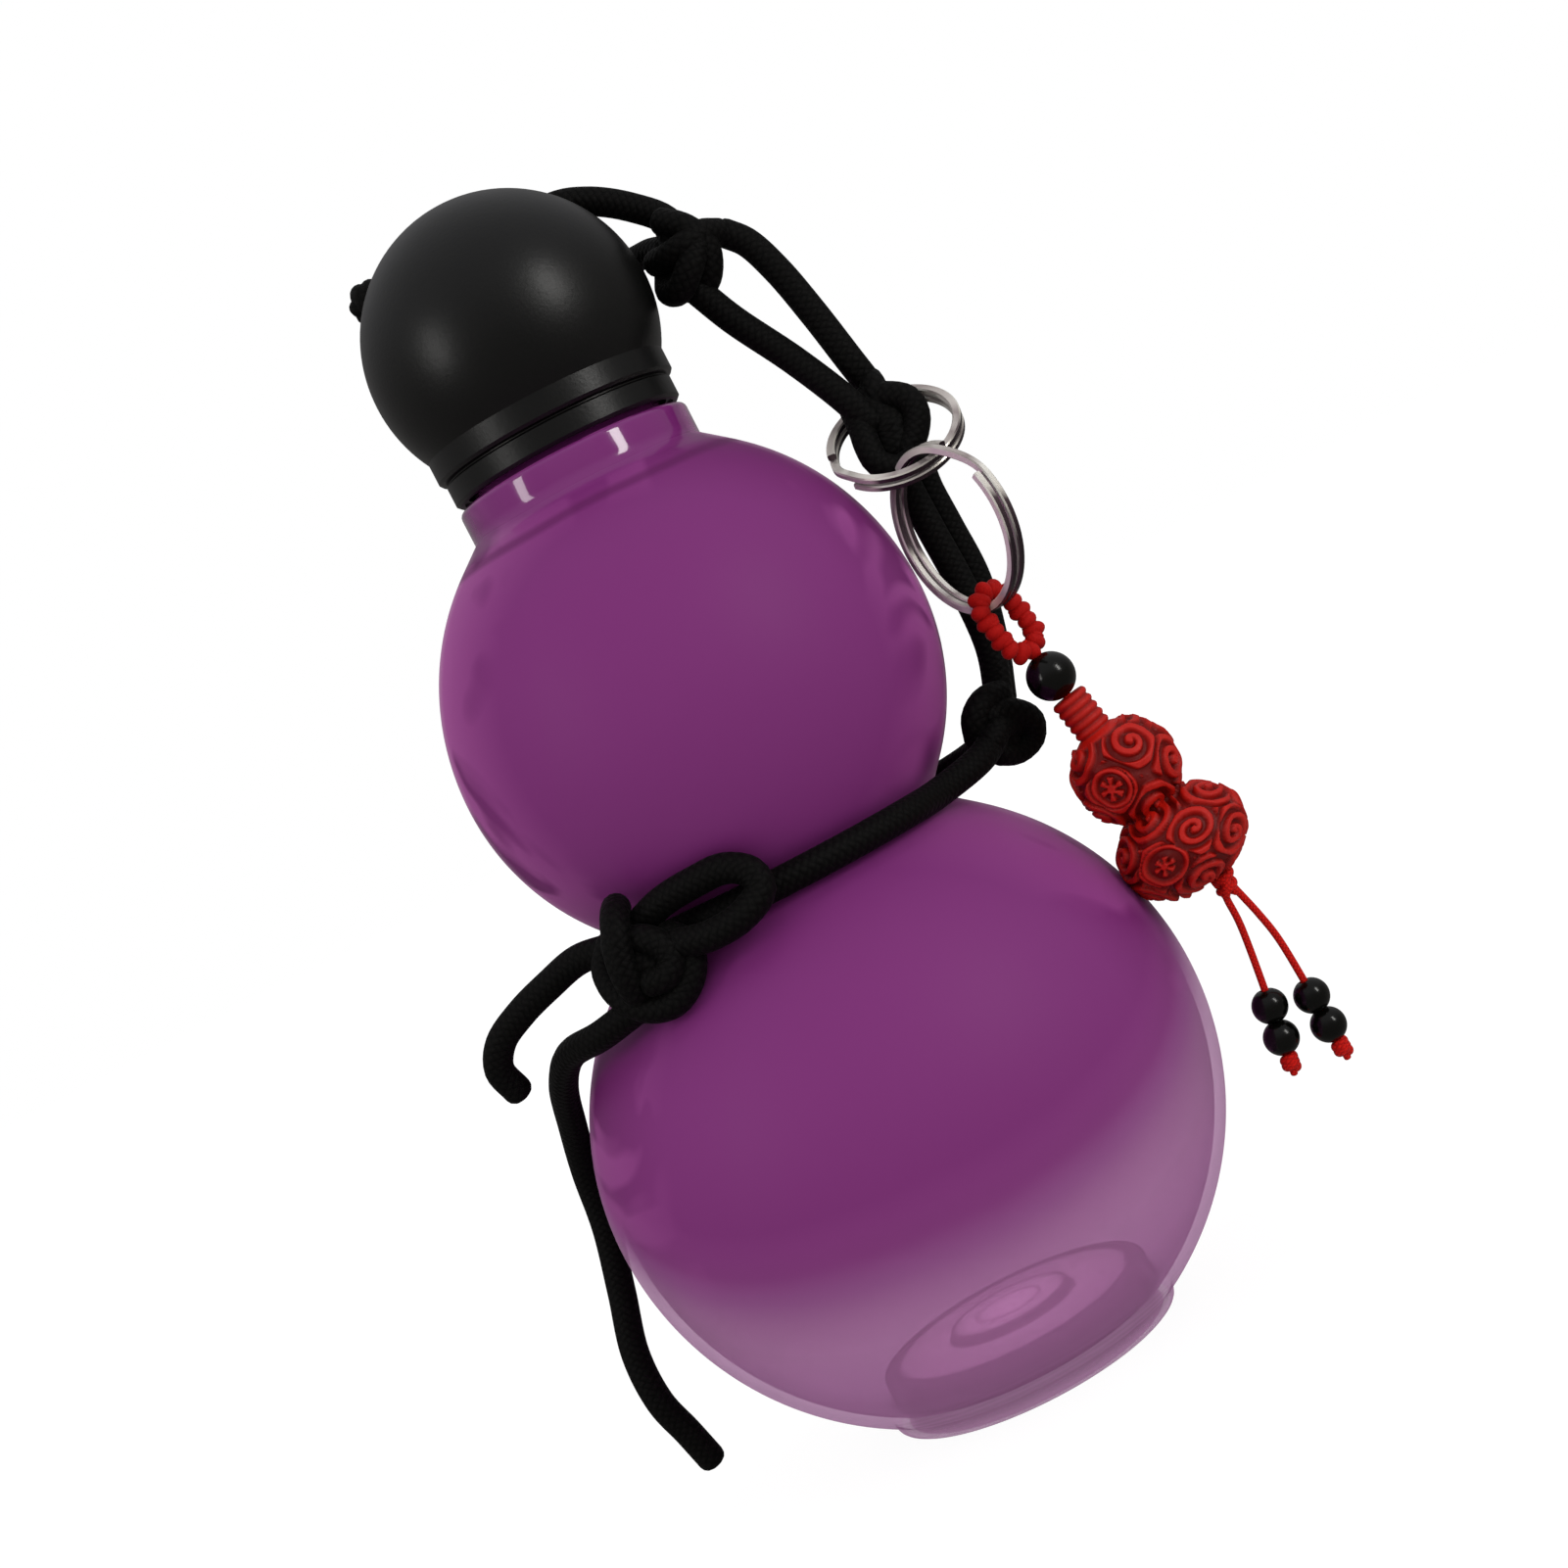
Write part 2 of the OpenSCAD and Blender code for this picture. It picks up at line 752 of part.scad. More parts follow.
module left_upper_bead() {
    color(black)
        bead_on(left_run, end_knot_r + bead_flat + 0.1 + bead_pitch);
}

module right_lower_bead() {
    color(black)
        bead_on(right_run, end_knot_r + bead_flat + 0.1);
}

module right_upper_bead() {
    color(black)
        bead_on(right_run, end_knot_r + bead_flat + 0.1 + bead_pitch);
}

echo(str("Least gap in the small split ring: ", least_gap(wire_line(small_mid_r)), " mm"));
echo(str("Least gap in the large split ring: ", least_gap(wire_line(large_mid_r)), " mm"));

bottle_body();
cap_shell();
cap_liner();
seal_ring();
stopper_knot();
cap_cord();
cap_knot();
cap_knot_tail();
outer_strand();
inner_strand();
ring_knot();
band_cord_inner();
band_cord_outer();
side_knot();
waist_cord_front();
waist_cord_back();
tie_knot();
bow_loop();
short_tail();
long_tail();
small_split_ring();
large_split_ring();
charm_loop();
charm_core_cord();
charm_big_bead();
charm_gourd();
charm_foot_knot();
left_string();
left_end_knot();
left_upper_bead();
left_lower_bead();
right_string();
right_end_knot();
right_upper_bead();
right_lower_bead();
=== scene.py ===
"""Gourd water bottle with a ball cap, a tied cord strap, two split rings and a carved charm.

Lengths named in millimetres are the part's own; everything is placed in metres.
"""
import math

import bpy
import numpy as np
from mathutils import Matrix, Vector


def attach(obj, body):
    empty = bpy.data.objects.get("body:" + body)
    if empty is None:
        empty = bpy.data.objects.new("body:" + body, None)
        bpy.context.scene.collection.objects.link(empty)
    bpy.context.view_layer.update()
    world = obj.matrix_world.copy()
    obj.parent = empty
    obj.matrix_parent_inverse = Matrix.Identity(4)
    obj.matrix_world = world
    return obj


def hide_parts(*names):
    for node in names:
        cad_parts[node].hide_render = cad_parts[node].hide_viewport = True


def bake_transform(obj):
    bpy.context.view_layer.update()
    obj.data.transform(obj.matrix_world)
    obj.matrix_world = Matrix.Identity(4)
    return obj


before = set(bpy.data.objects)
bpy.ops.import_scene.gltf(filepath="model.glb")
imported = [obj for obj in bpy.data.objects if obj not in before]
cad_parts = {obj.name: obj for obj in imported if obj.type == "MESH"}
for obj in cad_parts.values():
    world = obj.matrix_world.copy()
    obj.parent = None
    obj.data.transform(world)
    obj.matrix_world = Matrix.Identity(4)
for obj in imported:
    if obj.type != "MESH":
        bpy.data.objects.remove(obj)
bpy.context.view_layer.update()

MM = 0.001
UP = np.array((0.0, 0.0, 1.0))

# Camera, fitted to the bottle's outline in the photograph
CAMERA_AT = (0.00632, -0.40916, 0.11762)
CAMERA_PITCH = math.radians(2.2)
CAMERA_ROLL = math.radians(27.26)
CAMERA_LENS = 58.24
ROOM_LEVEL = 0.45
WINDOW = (1.0, 0.99, 0.96)
OBJECT_AT = (0.0, 0.0, 0.11)
WINDOW_SIZE = (0.13, 0.34)
FILL_AWAY, FILL_Z, FILL_POWERS = 1.3, 0.55, (5.5, 4.5, 4.5, 4.5)
BASE_LIGHT_Z, BASE_LIGHT_SIZE, BASE_LIGHT_POWER = 0.034, (0.03, 0.03), 0.011

# Bottle outline in millimetres, as in the part
LOWER_R, LOWER_TOP_H, LOWER_Z = 51.4, 49.5, 46.9
UPPER_R, UPPER_TOP_H, UPPER_Z = 40.5, 42.5, 120.9
NECK_R, FOOT_R, WALL = 20.2, 25.3, 1.8
MOUTH_R, FINISH_R, LIP_Z = 14.6, 16.6, 179.0
COLLAR_TOP_Z = 163.9
BLEND = 9

# Drawn on the plastic, in metres: the line at the shoulder, a painted shade line; the pushed-up base's
# underside, painted pale for the light the clear base carries, which lies below a height and inside a
# radius; the span of the ramp of its steps, painted as dark lines of shade; and the foot's lines
SHOULDER_LINE_Z = 0.1553
BASE_BELOW_Z, BASE_INSIDE_R, STEPS_SPAN = 0.0105, 0.0238, 0.03
FOOT_LINES_Z = 0.006
FADE_FROM, FADE_SPAN = -0.008, 0.18

# Cord routes in millimetres: the part's own points, but that the cap knot's tail is drawn a
# little higher and the outer band cord further up into the ring knot
CORD_R = 2.4
CAP_CORD = [
    (-16.5, 5, 201.8), (-6, 5, 201.8), (6, 5, 201.8), (16.8, 5, 201.8),
    (20.8, 5, 200.4), (24.2, 4.9, 198.4), (27.6, 4.6, 195.6), (30.6, 4, 192.4), (32.2, 3, 188.8),
]
CAP_KNOT_TAIL = [(29.2, 4.5, 187.4), (27, 9, 189), (24.2, 13.5, 189.8)]
OUTER_STRAND = [
    (38.4, 2, 185.1), (40.9, 2, 182.2), (43.2, 1.6, 176), (45.3, 1.5, 167),
    (47.1, 1.5, 157.5), (47.8, 2.2, 154.4),
]
INNER_STRAND = [
    (30.4, 1.4, 178.4), (33.2, 1.4, 172.2), (38.8, 0.5, 162), (43, -1.4, 152.8), (45.2, -1.6, 147),
]
BAND_INNER = [
    (46.2, 2.6, 141), (46.3, 3.3, 134), (46.5, 3.5, 127), (46.8, 3.5, 117), (46.1, 2.2, 106),
    (43.2, 0.2, 97.4),
]
BAND_OUTER = [
    (47.8, 1.6, 146), (49.6, 4.1, 142.4), (49.9, 6.2, 138), (49.6, 7, 134), (49.8, 7.4, 127),
    (49.9, 7.5, 117), (47.5, 6.9, 106), (44.4, 3.8, 98),
]
WAIST_Z, WAIST_R = 90.3, 31.4
WAIST_FRONT_IN = [(39.5, -4.6, 93.2), (35.6, -9.6, 91.6)]
WAIST_BACK_IN = [(35.6, 9.6, 91.4), (39.6, 3.6, 93)]
BOW = [
    (-24.2, -28.6, 93.6), (-18, -31.6, 95.8), (-12, -33.8, 96.4), (-7.2, -35, 96.2),
    (-4, -35.8, 94), (-3.8, -36.4, 91.2), (-7.6, -37, 89), (-13.6, -36.2, 88.4), (-19, -33.8, 89.4),
    (-24, -29.8, 89.8),
]
SHORT_TAIL = [
    (-28, -24.6, 92.6), (-34, -21.5, 93.2), (-40, -19.5, 91.7), (-46, -18, 89.7),
    (-51, -17, 87), (-53.4, -15.5, 83.2), (-52.6, -14, 79),
]
LONG_TAIL = [
    (-26.8, -30.2, 83.6), (-35.6, -25, 81.6), (-42.2, -17, 80.4), (-46.6, -8, 75.8),
    (-49.8, 2.5, 68), (-52.2, 8.5, 59.5), (-53.7, 10, 49.5), (-56.2, 9, 39),
    (-58.6, 6.5, 29), (-58.4, 5, 20.5), (-56.6, 5, 14), (-55.2, 5, 8.5),
]

# Rings and charm in millimetres
SMALL_RING_AT, SMALL_RING_TILT, SMALL_RING_R = (47.3, -4.5, 143.0), 41.0, 11.2
LARGE_RING_AT, LARGE_RING_TURN, LARGE_RING_R = (48.6, -11.2, 125.6), -61.0, 14.2
WIRE_T, WIRE_W, TURN_GAP, CROSS_OVER = 1.4, 1.2, 0.42, 40.0
CHARM_LEAN, CHARM_TURN = 11.6, LARGE_RING_TURN + 90.0
CHARM_AT = (LARGE_RING_AT[0], LARGE_RING_AT[1], LARGE_RING_AT[2] - LARGE_RING_R + WIRE_T / 2 - 0.5)
SMALL_RING_SPIN, LARGE_RING_SPIN = 210.0, 65.0
CORE_TOP_DROP, FOOT_KNOT_DROP, FOOT_KNOT_SHIFT = 7.9, 56.0, 1.2
STRING_R = 0.6
TOP_LOBE_DROP, TOP_LOBE_R, TOP_MEDAL_R = 32.6, 8.3, 2.9
LOW_LOBE_DROP, LOW_LOBE_R, LOW_LOBE_H, LOW_MEDAL_R = 46.8, 10.7, 7.9, 3.7
GOURD_TOP_DROP, GOURD_WAIST_DROP, GOURD_FOOT_DROP = 17.75, 39.9, 54.2
NECK_RIB_R, NECK_RIB_H, NECK_RIBS = 3.1, 1.4, 5
RIB_SHARES = (0.06, 0.25, 0.5, 0.75, 0.94)
SCROLL_PITCH, CARVING_DEPTH = 2.1, 0.95
LEFT_RUN = [(-0.9, 0, -2.1), (-0.9, 0, -7.1), (-3.7, 0, -30.1)]
RIGHT_RUN = [(1.1, 0, -2.1), (2.5, 0, -7.1), (3.5, 0, -12.1), (4.6, 0, -31.7)]

# A cord's domed end: how far each ring of points stands out, and its width, as shares of the radius
DOME = ((0.30, 0.93), (0.52, 0.75), (0.66, 0.45), (0.70, 0.05))


def mm(points):
    """Millimetres to metres."""
    return np.asarray(points, float) * MM


# ---------------------------------------------------------------- meshes


def new_mesh(name, verts, faces, body):
    """A mesh object in the row frame, riding on a body."""
    mesh = bpy.data.meshes.new(name)
    mesh.from_pydata([tuple(v) for v in verts], [], [tuple(f) for f in faces])
    mesh.validate()
    mesh.polygons.foreach_set("use_smooth", [True] * len(mesh.polygons))
    obj = bpy.data.objects.new(name, mesh)
    bpy.context.scene.collection.objects.link(obj)
    if body:
        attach(obj, body)
    return obj


def grid_faces(rows, cols, closed):
    """Quads over a grid of rows by cols points, the columns joined round if closed."""
    span = cols if closed else cols - 1
    return [
        (i * cols + j, i * cols + (j + 1) % cols, (i + 1) * cols + (j + 1) % cols, (i + 1) * cols + j)
        for i in range(rows - 1)
        for j in range(span)
    ]


def smooth_line(points, step):
    """A smooth curve through the points, with a point every step or so."""
    p = np.asarray(points, float)
    ends = np.vstack([2 * p[0] - p[1], p, 2 * p[-1] - p[-2]])
    line = []
    for i in range(1, len(ends) - 2):
        a, b, c, d = ends[i - 1], ends[i], ends[i + 1], ends[i + 2]
        spans = [max(np.linalg.norm(q - r), 1e-9) ** 0.5 for q, r in ((b, a), (c, b), (d, c))]
        t0, t1, t2, t3 = np.cumsum([0] + spans)
        count = max(2, int(np.linalg.norm(c - b) / step))
        for k in range(count):
            t = t1 + (t2 - t1) * k / count
            a1 = (t1 - t) / (t1 - t0) * a + (t - t0) / (t1 - t0) * b
            a2 = (t2 - t) / (t2 - t1) * b + (t - t1) / (t2 - t1) * c
            a3 = (t3 - t) / (t3 - t2) * c + (t - t2) / (t3 - t2) * d
            b1 = (t2 - t) / (t2 - t0) * a1 + (t - t0) / (t2 - t0) * a2
            b2 = (t3 - t) / (t3 - t1) * a2 + (t - t1) / (t3 - t1) * a3
            line.append((t2 - t) / (t2 - t1) * b1 + (t - t1) / (t2 - t1) * b2)
    line.append(p[-1])
    return np.array(line)


def frames_along(line):
    """Heading, side and up at each point of a line, carried along it without twist."""
    heading = np.gradient(line, axis=0)
    heading /= np.linalg.norm(heading, axis=1)[:, None]
    side = np.empty_like(line)
    first = np.array((1.0, 0, 0)) if abs(heading[0][2]) > 0.9 else UP
    side[0] = first - heading[0] * (first @ heading[0])
    side[0] /= np.linalg.norm(side[0])
    for i in range(1, len(line)):
        s = side[i - 1] - heading[i] * (side[i - 1] @ heading[i])
        side[i] = s / np.linalg.norm(s)
    return heading, side, np.cross(heading, side)


def tube(name, line, radius, body, sides=20):
    """A round tube with domed ends along a line in metres. radius is one value, or one for each
    point. Its U runs along it and its V round it, both in metres."""
    line = np.asarray(line, float)
    radius = np.broadcast_to(np.asarray(radius, float), (len(line),)).copy()
    heading, side, up = frames_along(line)
    start = [(line[0] - heading[0] * radius[0] * b, radius[0] * s) for b, s in reversed(DOME)]
    stop = [(line[-1] + heading[-1] * radius[-1] * b, radius[-1] * s) for b, s in DOME]
    line = np.vstack([[p for p, _ in start], line, [p for p, _ in stop]])
    radius = np.concatenate([[r for _, r in start], radius, [r for _, r in stop]])
    k = len(DOME)
    side = np.vstack([[side[0]] * k, side, [side[-1]] * k])
    up = np.vstack([[up[0]] * k, up, [up[-1]] * k])
    angle = np.linspace(0, 2 * math.pi, sides, endpoint=False)
    verts = (
        line[:, None, :]
        + radius[:, None, None] * (
            np.cos(angle)[None, :, None] * side[:, None, :] + np.sin(angle)[None, :, None] * up[:, None, :]
        )
    ).reshape(-1, 3)
    rows = len(line)
    faces = grid_faces(rows, sides, True)
    faces.append(tuple(range(sides - 1, -1, -1)))
    faces.append(tuple(range((rows - 1) * sides, rows * sides)))
    obj = new_mesh(name, verts, faces, body)
    along = np.concatenate([[0], np.cumsum(np.linalg.norm(np.diff(line, axis=0), axis=1))])
    around = 2 * math.pi * float(np.median(radius)) / sides
    uv = []
    for i in range(rows - 1):
        for j in range(sides):
            uv += [
                (along[i], j * around), (along[i], (j + 1) * around),
                (along[i + 1], (j + 1) * around), (along[i + 1], j * around),
            ]
    uv += [(0, 0)] * sides + [(along[-1], 0)] * sides
    layer = obj.data.uv_layers.new(name="UVMap")
    layer.data.foreach_set("uv", np.asarray(uv, np.float32).ravel())
    return obj


def revolve(name, outline, body, segments):
    """A surface turned round Z from (radius, height) points in metres."""
    outline = np.asarray(outline, float)
    angle = np.linspace(0, 2 * math.pi, segments, endpoint=False)
    ring = np.stack([np.cos(angle), np.sin(angle)], 1)
    verts = np.concatenate([
        outline[:, 0][:, None, None] * ring[None, :, :],
        np.broadcast_to(outline[:, 1][:, None, None], (len(outline), segments, 1)),
    ], 2).reshape(-1, 3)
    return new_mesh(name, verts, grid_faces(len(outline), segments, True), body)


def turned(points, tilt=(0, 0, 0), at=(0, 0, 0)):
    """Points turned by X, Y, Z angles in degrees and moved."""
    turn = Matrix.Rotation(math.radians(tilt[2]), 3, "Z") @ Matrix.Rotation(math.radians(tilt[1]), 3, "Y")
    turn = turn @ Matrix.Rotation(math.radians(tilt[0]), 3, "X")
    return np.asarray(points, float) @ np.array(turn).T + np.asarray(at, float)


# ---------------------------------------------------------------- materials


class Nodes:
    """Shorthand for building one material's node tree."""

    def __init__(self, name, tree=None):
        if tree is None:
            self.material = bpy.data.materials.new(name)
            self.material.use_nodes = True
            tree = self.material.node_tree
        self.tree = tree
        self.tree.nodes.clear()

    def add(self, kind, inputs=None, **settings):
        node = self.tree.nodes.new(kind)
        for key, value in settings.items():
            setattr(node, key, value)
        for key, value in (inputs or {}).items():
            if isinstance(value, bpy.types.NodeSocket):
                self.tree.links.new(value, node.inputs[key])
            else:
                node.inputs[key].default_value = value
        return node

    def math(self, operation, a, b=0.0, c=0.0):
        return self.add("ShaderNodeMath", {0: a, 1: b, 2: c}, operation=operation).outputs[0]

    def mix(self, factor, a, b):
        """Colour mix of a and b."""
        node = self.add("ShaderNodeMix", data_type="RGBA")
        sockets = {"Factor": factor, "A": a, "B": b}
        for s in node.inputs:
            is_factor = s.name == "Factor" and s.type == "VALUE" and s.enabled
            if s.name in sockets and (s.type == "RGBA" or is_factor):
                value = sockets[s.name]
                if isinstance(value, bpy.types.NodeSocket):
                    self.tree.links.new(value, s)
                else:
                    s.default_value = value
        return next(o for o in node.outputs if o.type == "RGBA")

    def ramp(self, factor, stops):
        """Colour ramp from (position, colour) stops."""
        node = self.add("ShaderNodeValToRGB", {0: factor})
        ramp = node.color_ramp
        while len(ramp.elements) < len(stops):
            ramp.elements.new(0.5)
        for element, (position, colour) in zip(ramp.elements, stops):
            element.position = position
            element.color = colour
        return node.outputs[0]

    def noise(self, place, scale, detail, distortion=0.0):
        inputs = {"Vector": place, "Scale": scale, "Detail": detail, "Distortion": distortion}
        return self.add("ShaderNodeTexNoise", inputs).outputs[0]

    def fade(self, value, start, end, first=0.0, last=1.0):
        """Runs from first to last as the value runs from start to end."""
        inputs = {0: value, 1: start, 2: end, 3: first, 4: last}
        return self.add("ShaderNodeMapRange", inputs).outputs[0]

    def bump(self, strength, distance, height):
        inputs = {"Strength": strength, "Distance": distance, "Height": height}
        return self.add("ShaderNodeBump", inputs).outputs[0]

    def finish(self, shader):
        self.add("ShaderNodeOutputMaterial", {"Surface": shader})
        return self.material


def srgb(r, g, b):
    """A colour written in 0 to 255, as the linear values that nodes take."""
    def linear(c):
        c /= 255
        return c / 12.92 if c <= 0.04045 else ((c + 0.055) / 1.055) ** 2.4
    return (linear(r), linear(g), linear(b), 1.0)


def greys(*stops):
    """Ramp stops from (position, level) pairs."""
    return [(position, (level, level, level, 1)) for position, level in stops]


def paint(obj, material):
    """Gives a piece its material."""
    obj.data.materials.clear()
    obj.data.materials.append(material)


def bottle_plastic():
    """Glossy purple plastic that fades to clear smoky mauve at the base. The base's underside is painted
    pale for the light the clear plastic carries, and the steps moulded into it are painted darker as
    shade.
    Patches near the outline are painted paler or deeper as a painted reflection, with a painted pale
    highlight along the outline, where the fade is also pulled up as painted paler edges."""
    n = Nodes("purple_plastic")
    place = n.add("ShaderNodeNewGeometry").outputs["Position"]
    xyz = n.add("ShaderNodeSeparateXYZ", {0: place}).outputs
    drift = n.noise(place, 22.0, 2.0)
    facing = n.add("ShaderNodeLayerWeight", {"Blend": 0.4}).outputs["Facing"]
    z = n.math("MULTIPLY_ADD", drift, 0.016, n.math("MULTIPLY_ADD", xyz[2], 1 / FADE_SPAN, FADE_FROM))
    # Near the outline the fade is pulled up, which paints the edges paler, painted light, and makes the
    # wall clearer there
    low = n.math("SUBTRACT", z, n.math("MULTIPLY", n.math("POWER", facing, 1.5), 0.17))
    colour = n.ramp(low, [
        (0.000, srgb(158, 112, 152)), (0.040, srgb(178, 130, 172)), (0.100, srgb(184, 138, 176)),
        (0.140, srgb(172, 118, 164)), (0.175, srgb(150, 86, 144)), (0.205, srgb(130, 56, 122)),
        (0.250, srgb(119, 44, 112)), (1.000, srgb(115, 40, 108)),
    ])
    # Patches near the outline, paler or deeper: a painted reflection
    patch = n.fade(n.noise(place, 30.0, 2.0, 1.4), 0.47, 0.53)
    rim = n.mix(patch, srgb(98, 18, 88), srgb(168, 84, 154))
    reflection_share = n.fade(facing, 0.30, 0.80, 0.0, 0.75)
    tinted = n.fade(low, 0.16, 0.30, 0.1, 1.0)
    colour = n.mix(n.math("MULTIPLY", reflection_share, tinted), colour, rim)
    # A pale band along the outline: a painted highlight
    outline = n.fade(facing, 0.74, 0.95, 0.0, 0.6)
    colour = n.mix(n.math("MULTIPLY", outline, tinted), colour, srgb(190, 150, 182))
    # The base's underside is painted pale for the light the clear base carries, and its steps as dark
    # lines of painted shade
    squares = n.math("ADD", n.math("POWER", xyz[0], 2.0), n.math("POWER", xyz[1], 2.0))
    radius = n.math("SQRT", squares)
    steps = n.ramp(n.math("MULTIPLY", radius, 1 / STEPS_SPAN), greys(
        (0.00, 0.1), (0.16, 0.1), (0.185, 0.7), (0.21, 0.1), (0.31, 0.1), (0.335, 0.9),
        (0.37, 0.8), (0.39, 0), (0.66, 0), (0.695, 1), (0.775, 0.9), (0.80, 0.2),
    ))
    base_low = n.fade(xyz[2], BASE_BELOW_Z, BASE_BELOW_Z + 0.002, 1.0, 0.0)
    base_in = n.fade(radius, BASE_INSIDE_R, BASE_INSIDE_R + 0.001, 1.0, 0.0)
    base = n.math("MULTIPLY", base_low, base_in)
    step = n.math("MULTIPLY", base, steps)
    colour = n.mix(base, colour, srgb(236, 192, 226))
    colour = n.mix(step, colour, srgb(122, 66, 108))
    waves = {"Vector": place, "Scale": 260.0, "Distortion": 0.6}
    foot_lines = n.add("ShaderNodeTexWave", waves, bands_direction="Z").outputs[0]
    at_foot = n.fade(xyz[2], FOOT_LINES_Z, FOOT_LINES_Z + 0.0025, 0.5, 0.0)
    colour = n.mix(n.math("MULTIPLY", foot_lines, at_foot), colour, srgb(104, 58, 92))
    # A dark line round the shoulder: painted shade
    off_line = n.math("MULTIPLY_ADD", drift, 0.002, n.math("ADD", xyz[2], -SHOULDER_LINE_Z))
    line = n.fade(n.math("ABSOLUTE", off_line), 0.0003, 0.0011, 0.6, 0.0)
    colour = n.mix(line, colour, srgb(84, 20, 76))
    neck = n.fade(z, 0.86, 0.89)
    wavy = n.math("MULTIPLY", n.math("MULTIPLY", neck, n.noise(place, 260.0, 1.0)), 0.35)
    bump = n.bump(0.14, 0.001, n.math("ADD", n.noise(place, 42.0, 1.5), wavy))
    skin = n.add("ShaderNodeBsdfPrincipled", {
        "Base Color": colour, "Roughness": n.math("MULTIPLY_ADD", neck, -0.4, 0.54),
        "Specular IOR Level": 0.2, "Normal": bump,
        "Coat Weight": neck, "Coat Roughness": 0.03,
    }).outputs[0]
    glow = n.add("ShaderNodeBsdfTranslucent", {"Color": srgb(238, 196, 232)}).outputs[0]
    tint = n.add("ShaderNodeBsdfTransparent", {"Color": srgb(240, 222, 238)}).outputs[0]
    clear = n.ramp(low, greys((0.00, 0.72), (0.10, 0.72), (0.14, 0.5), (0.19, 0.12), (0.23, 0)))
    skin = n.add("ShaderNodeMixShader", {0: n.math("MULTIPLY", clear, 0.4), 1: skin, 2: glow}).outputs[0]
    see = n.math("MULTIPLY", clear, n.math("MULTIPLY_ADD", facing, -0.45, 1.0))
    see = n.math("MULTIPLY", see, n.math("MULTIPLY_ADD", base, -0.75, 1.0))
    return n.finish(n.add("ShaderNodeMixShader", {0: see, 1: skin, 2: tint}).outputs[0])


def moulded(name, dark, light, roughness, coat=0.0, specular=0.5, grain=900.0, bump=0.08):
    """Moulded plastic or lacquer: a colour that drifts a little, and a fine grain."""
    n = Nodes(name)
    place = n.add("ShaderNodeNewGeometry").outputs["Position"]
    drift = n.noise(place, 90.0, 4.0)
    colour = n.mix(drift, dark, light)
    rough = n.math("ADD", roughness - 0.05, n.math("MULTIPLY", drift, 0.1))
    grainy = n.bump(bump, 0.0002, n.noise(place, grain, 3.0))
    return n.finish(n.add("ShaderNodeBsdfPrincipled", {
        "Base Color": colour, "Roughness": rough, "Normal": grainy, "Specular IOR Level": specular,
        "Coat Weight": coat, "Coat Roughness": 0.06,
    }).outputs[0])


def braid(name, dark, light, across, along, depth, sheen=0.04):
    """A braided cord: two sets of yarns that cross over and under, laid out in the tube's own UV.
    across and along are the size of one crossing, in metres."""
    n = Nodes(name)
    uv = n.add("ShaderNodeUVMap", uv_map="UVMap").outputs[0]
    xyz = n.add("ShaderNodeSeparateXYZ", {0: uv}).outputs
    s, t = n.math("DIVIDE", xyz[0], along), n.math("DIVIDE", xyz[1], across)
    a, b = n.math("ADD", s, t), n.math("SUBTRACT", s, t)
    over = n.math("MODULO", n.math("ADD", n.math("FLOOR", a), n.math("FLOOR", b)), 2.0)
    over = n.math("ABSOLUTE", over)
    ridge_a = n.math("ABSOLUTE", n.math("SINE", n.math("MULTIPLY", a, math.pi)))
    ridge_b = n.math("ABSOLUTE", n.math("SINE", n.math("MULTIPLY", b, math.pi)))
    under_part = n.math("MULTIPLY", n.math("SUBTRACT", 1.0, over), ridge_b)
    picked = n.math("ADD", n.math("MULTIPLY", over, ridge_a), under_part)
    crossing = n.math("MULTIPLY", 0.5, n.math("MULTIPLY", ridge_a, ridge_b))
    height = n.math("MULTIPLY", picked, n.math("ADD", 0.5, crossing))
    fuzz = n.noise(n.add("ShaderNodeNewGeometry").outputs["Position"], 2600.0, 3.0)
    height = n.math("ADD", height, n.math("MULTIPLY", fuzz, 0.35))
    bump = n.bump(0.9, depth, height)
    # The grooves between the yarns are painted darker than the yarns' tops: painted shade
    colour = n.mix(n.math("MULTIPLY", height, 0.8), dark, light)
    return n.finish(n.add("ShaderNodeBsdfPrincipled", {
        "Base Color": colour, "Roughness": 0.65, "Normal": bump, "Specular IOR Level": 0.11,
        "Sheen Weight": sheen, "Sheen Roughness": 0.4,
    }).outputs[0])


def wire_steel():
    """Bright plated wire, with a painted reflection in its colour: faces that look up are painted bright
    and those that look down or aside dark, in streaks along the wire, for the pale room and the dark cords
    it mirrors."""
    n = Nodes("ring_steel")
    geometry = n.add("ShaderNodeNewGeometry").outputs
    way = n.add("ShaderNodeSeparateXYZ", {0: geometry["Normal"]}).outputs
    streaks = n.noise(geometry["Position"], 110.0, 1.0)
    lit = n.math("MULTIPLY_ADD", way[2], 0.5, n.math("MULTIPLY_ADD", way[0], -0.22, 0.5))
    lit = n.math("ADD", lit, n.math("MULTIPLY_ADD", streaks, 0.5, -0.25))
    # The wire's colour is a painted reflection: bright where it faces up, dark where it faces down or
    # aside
    colour = n.ramp(lit, [
        (0.18, srgb(48, 36, 42)), (0.40, srgb(84, 68, 74)), (0.50, srgb(236, 230, 220)),
        (0.70, srgb(255, 252, 244)), (0.80, srgb(168, 156, 154)), (1.0, srgb(250, 244, 236)),
    ])
    dull = n.noise(geometry["Position"], 150.0, 1.0)
    return n.finish(n.add("ShaderNodeBsdfPrincipled", {
        "Base Color": colour, "Metallic": 0.55, "Normal": n.bump(0.05, 0.0001, dull),
        "Roughness": n.math("ADD", 0.2, n.math("MULTIPLY", dull, 0.1)),
    }).outputs[0])


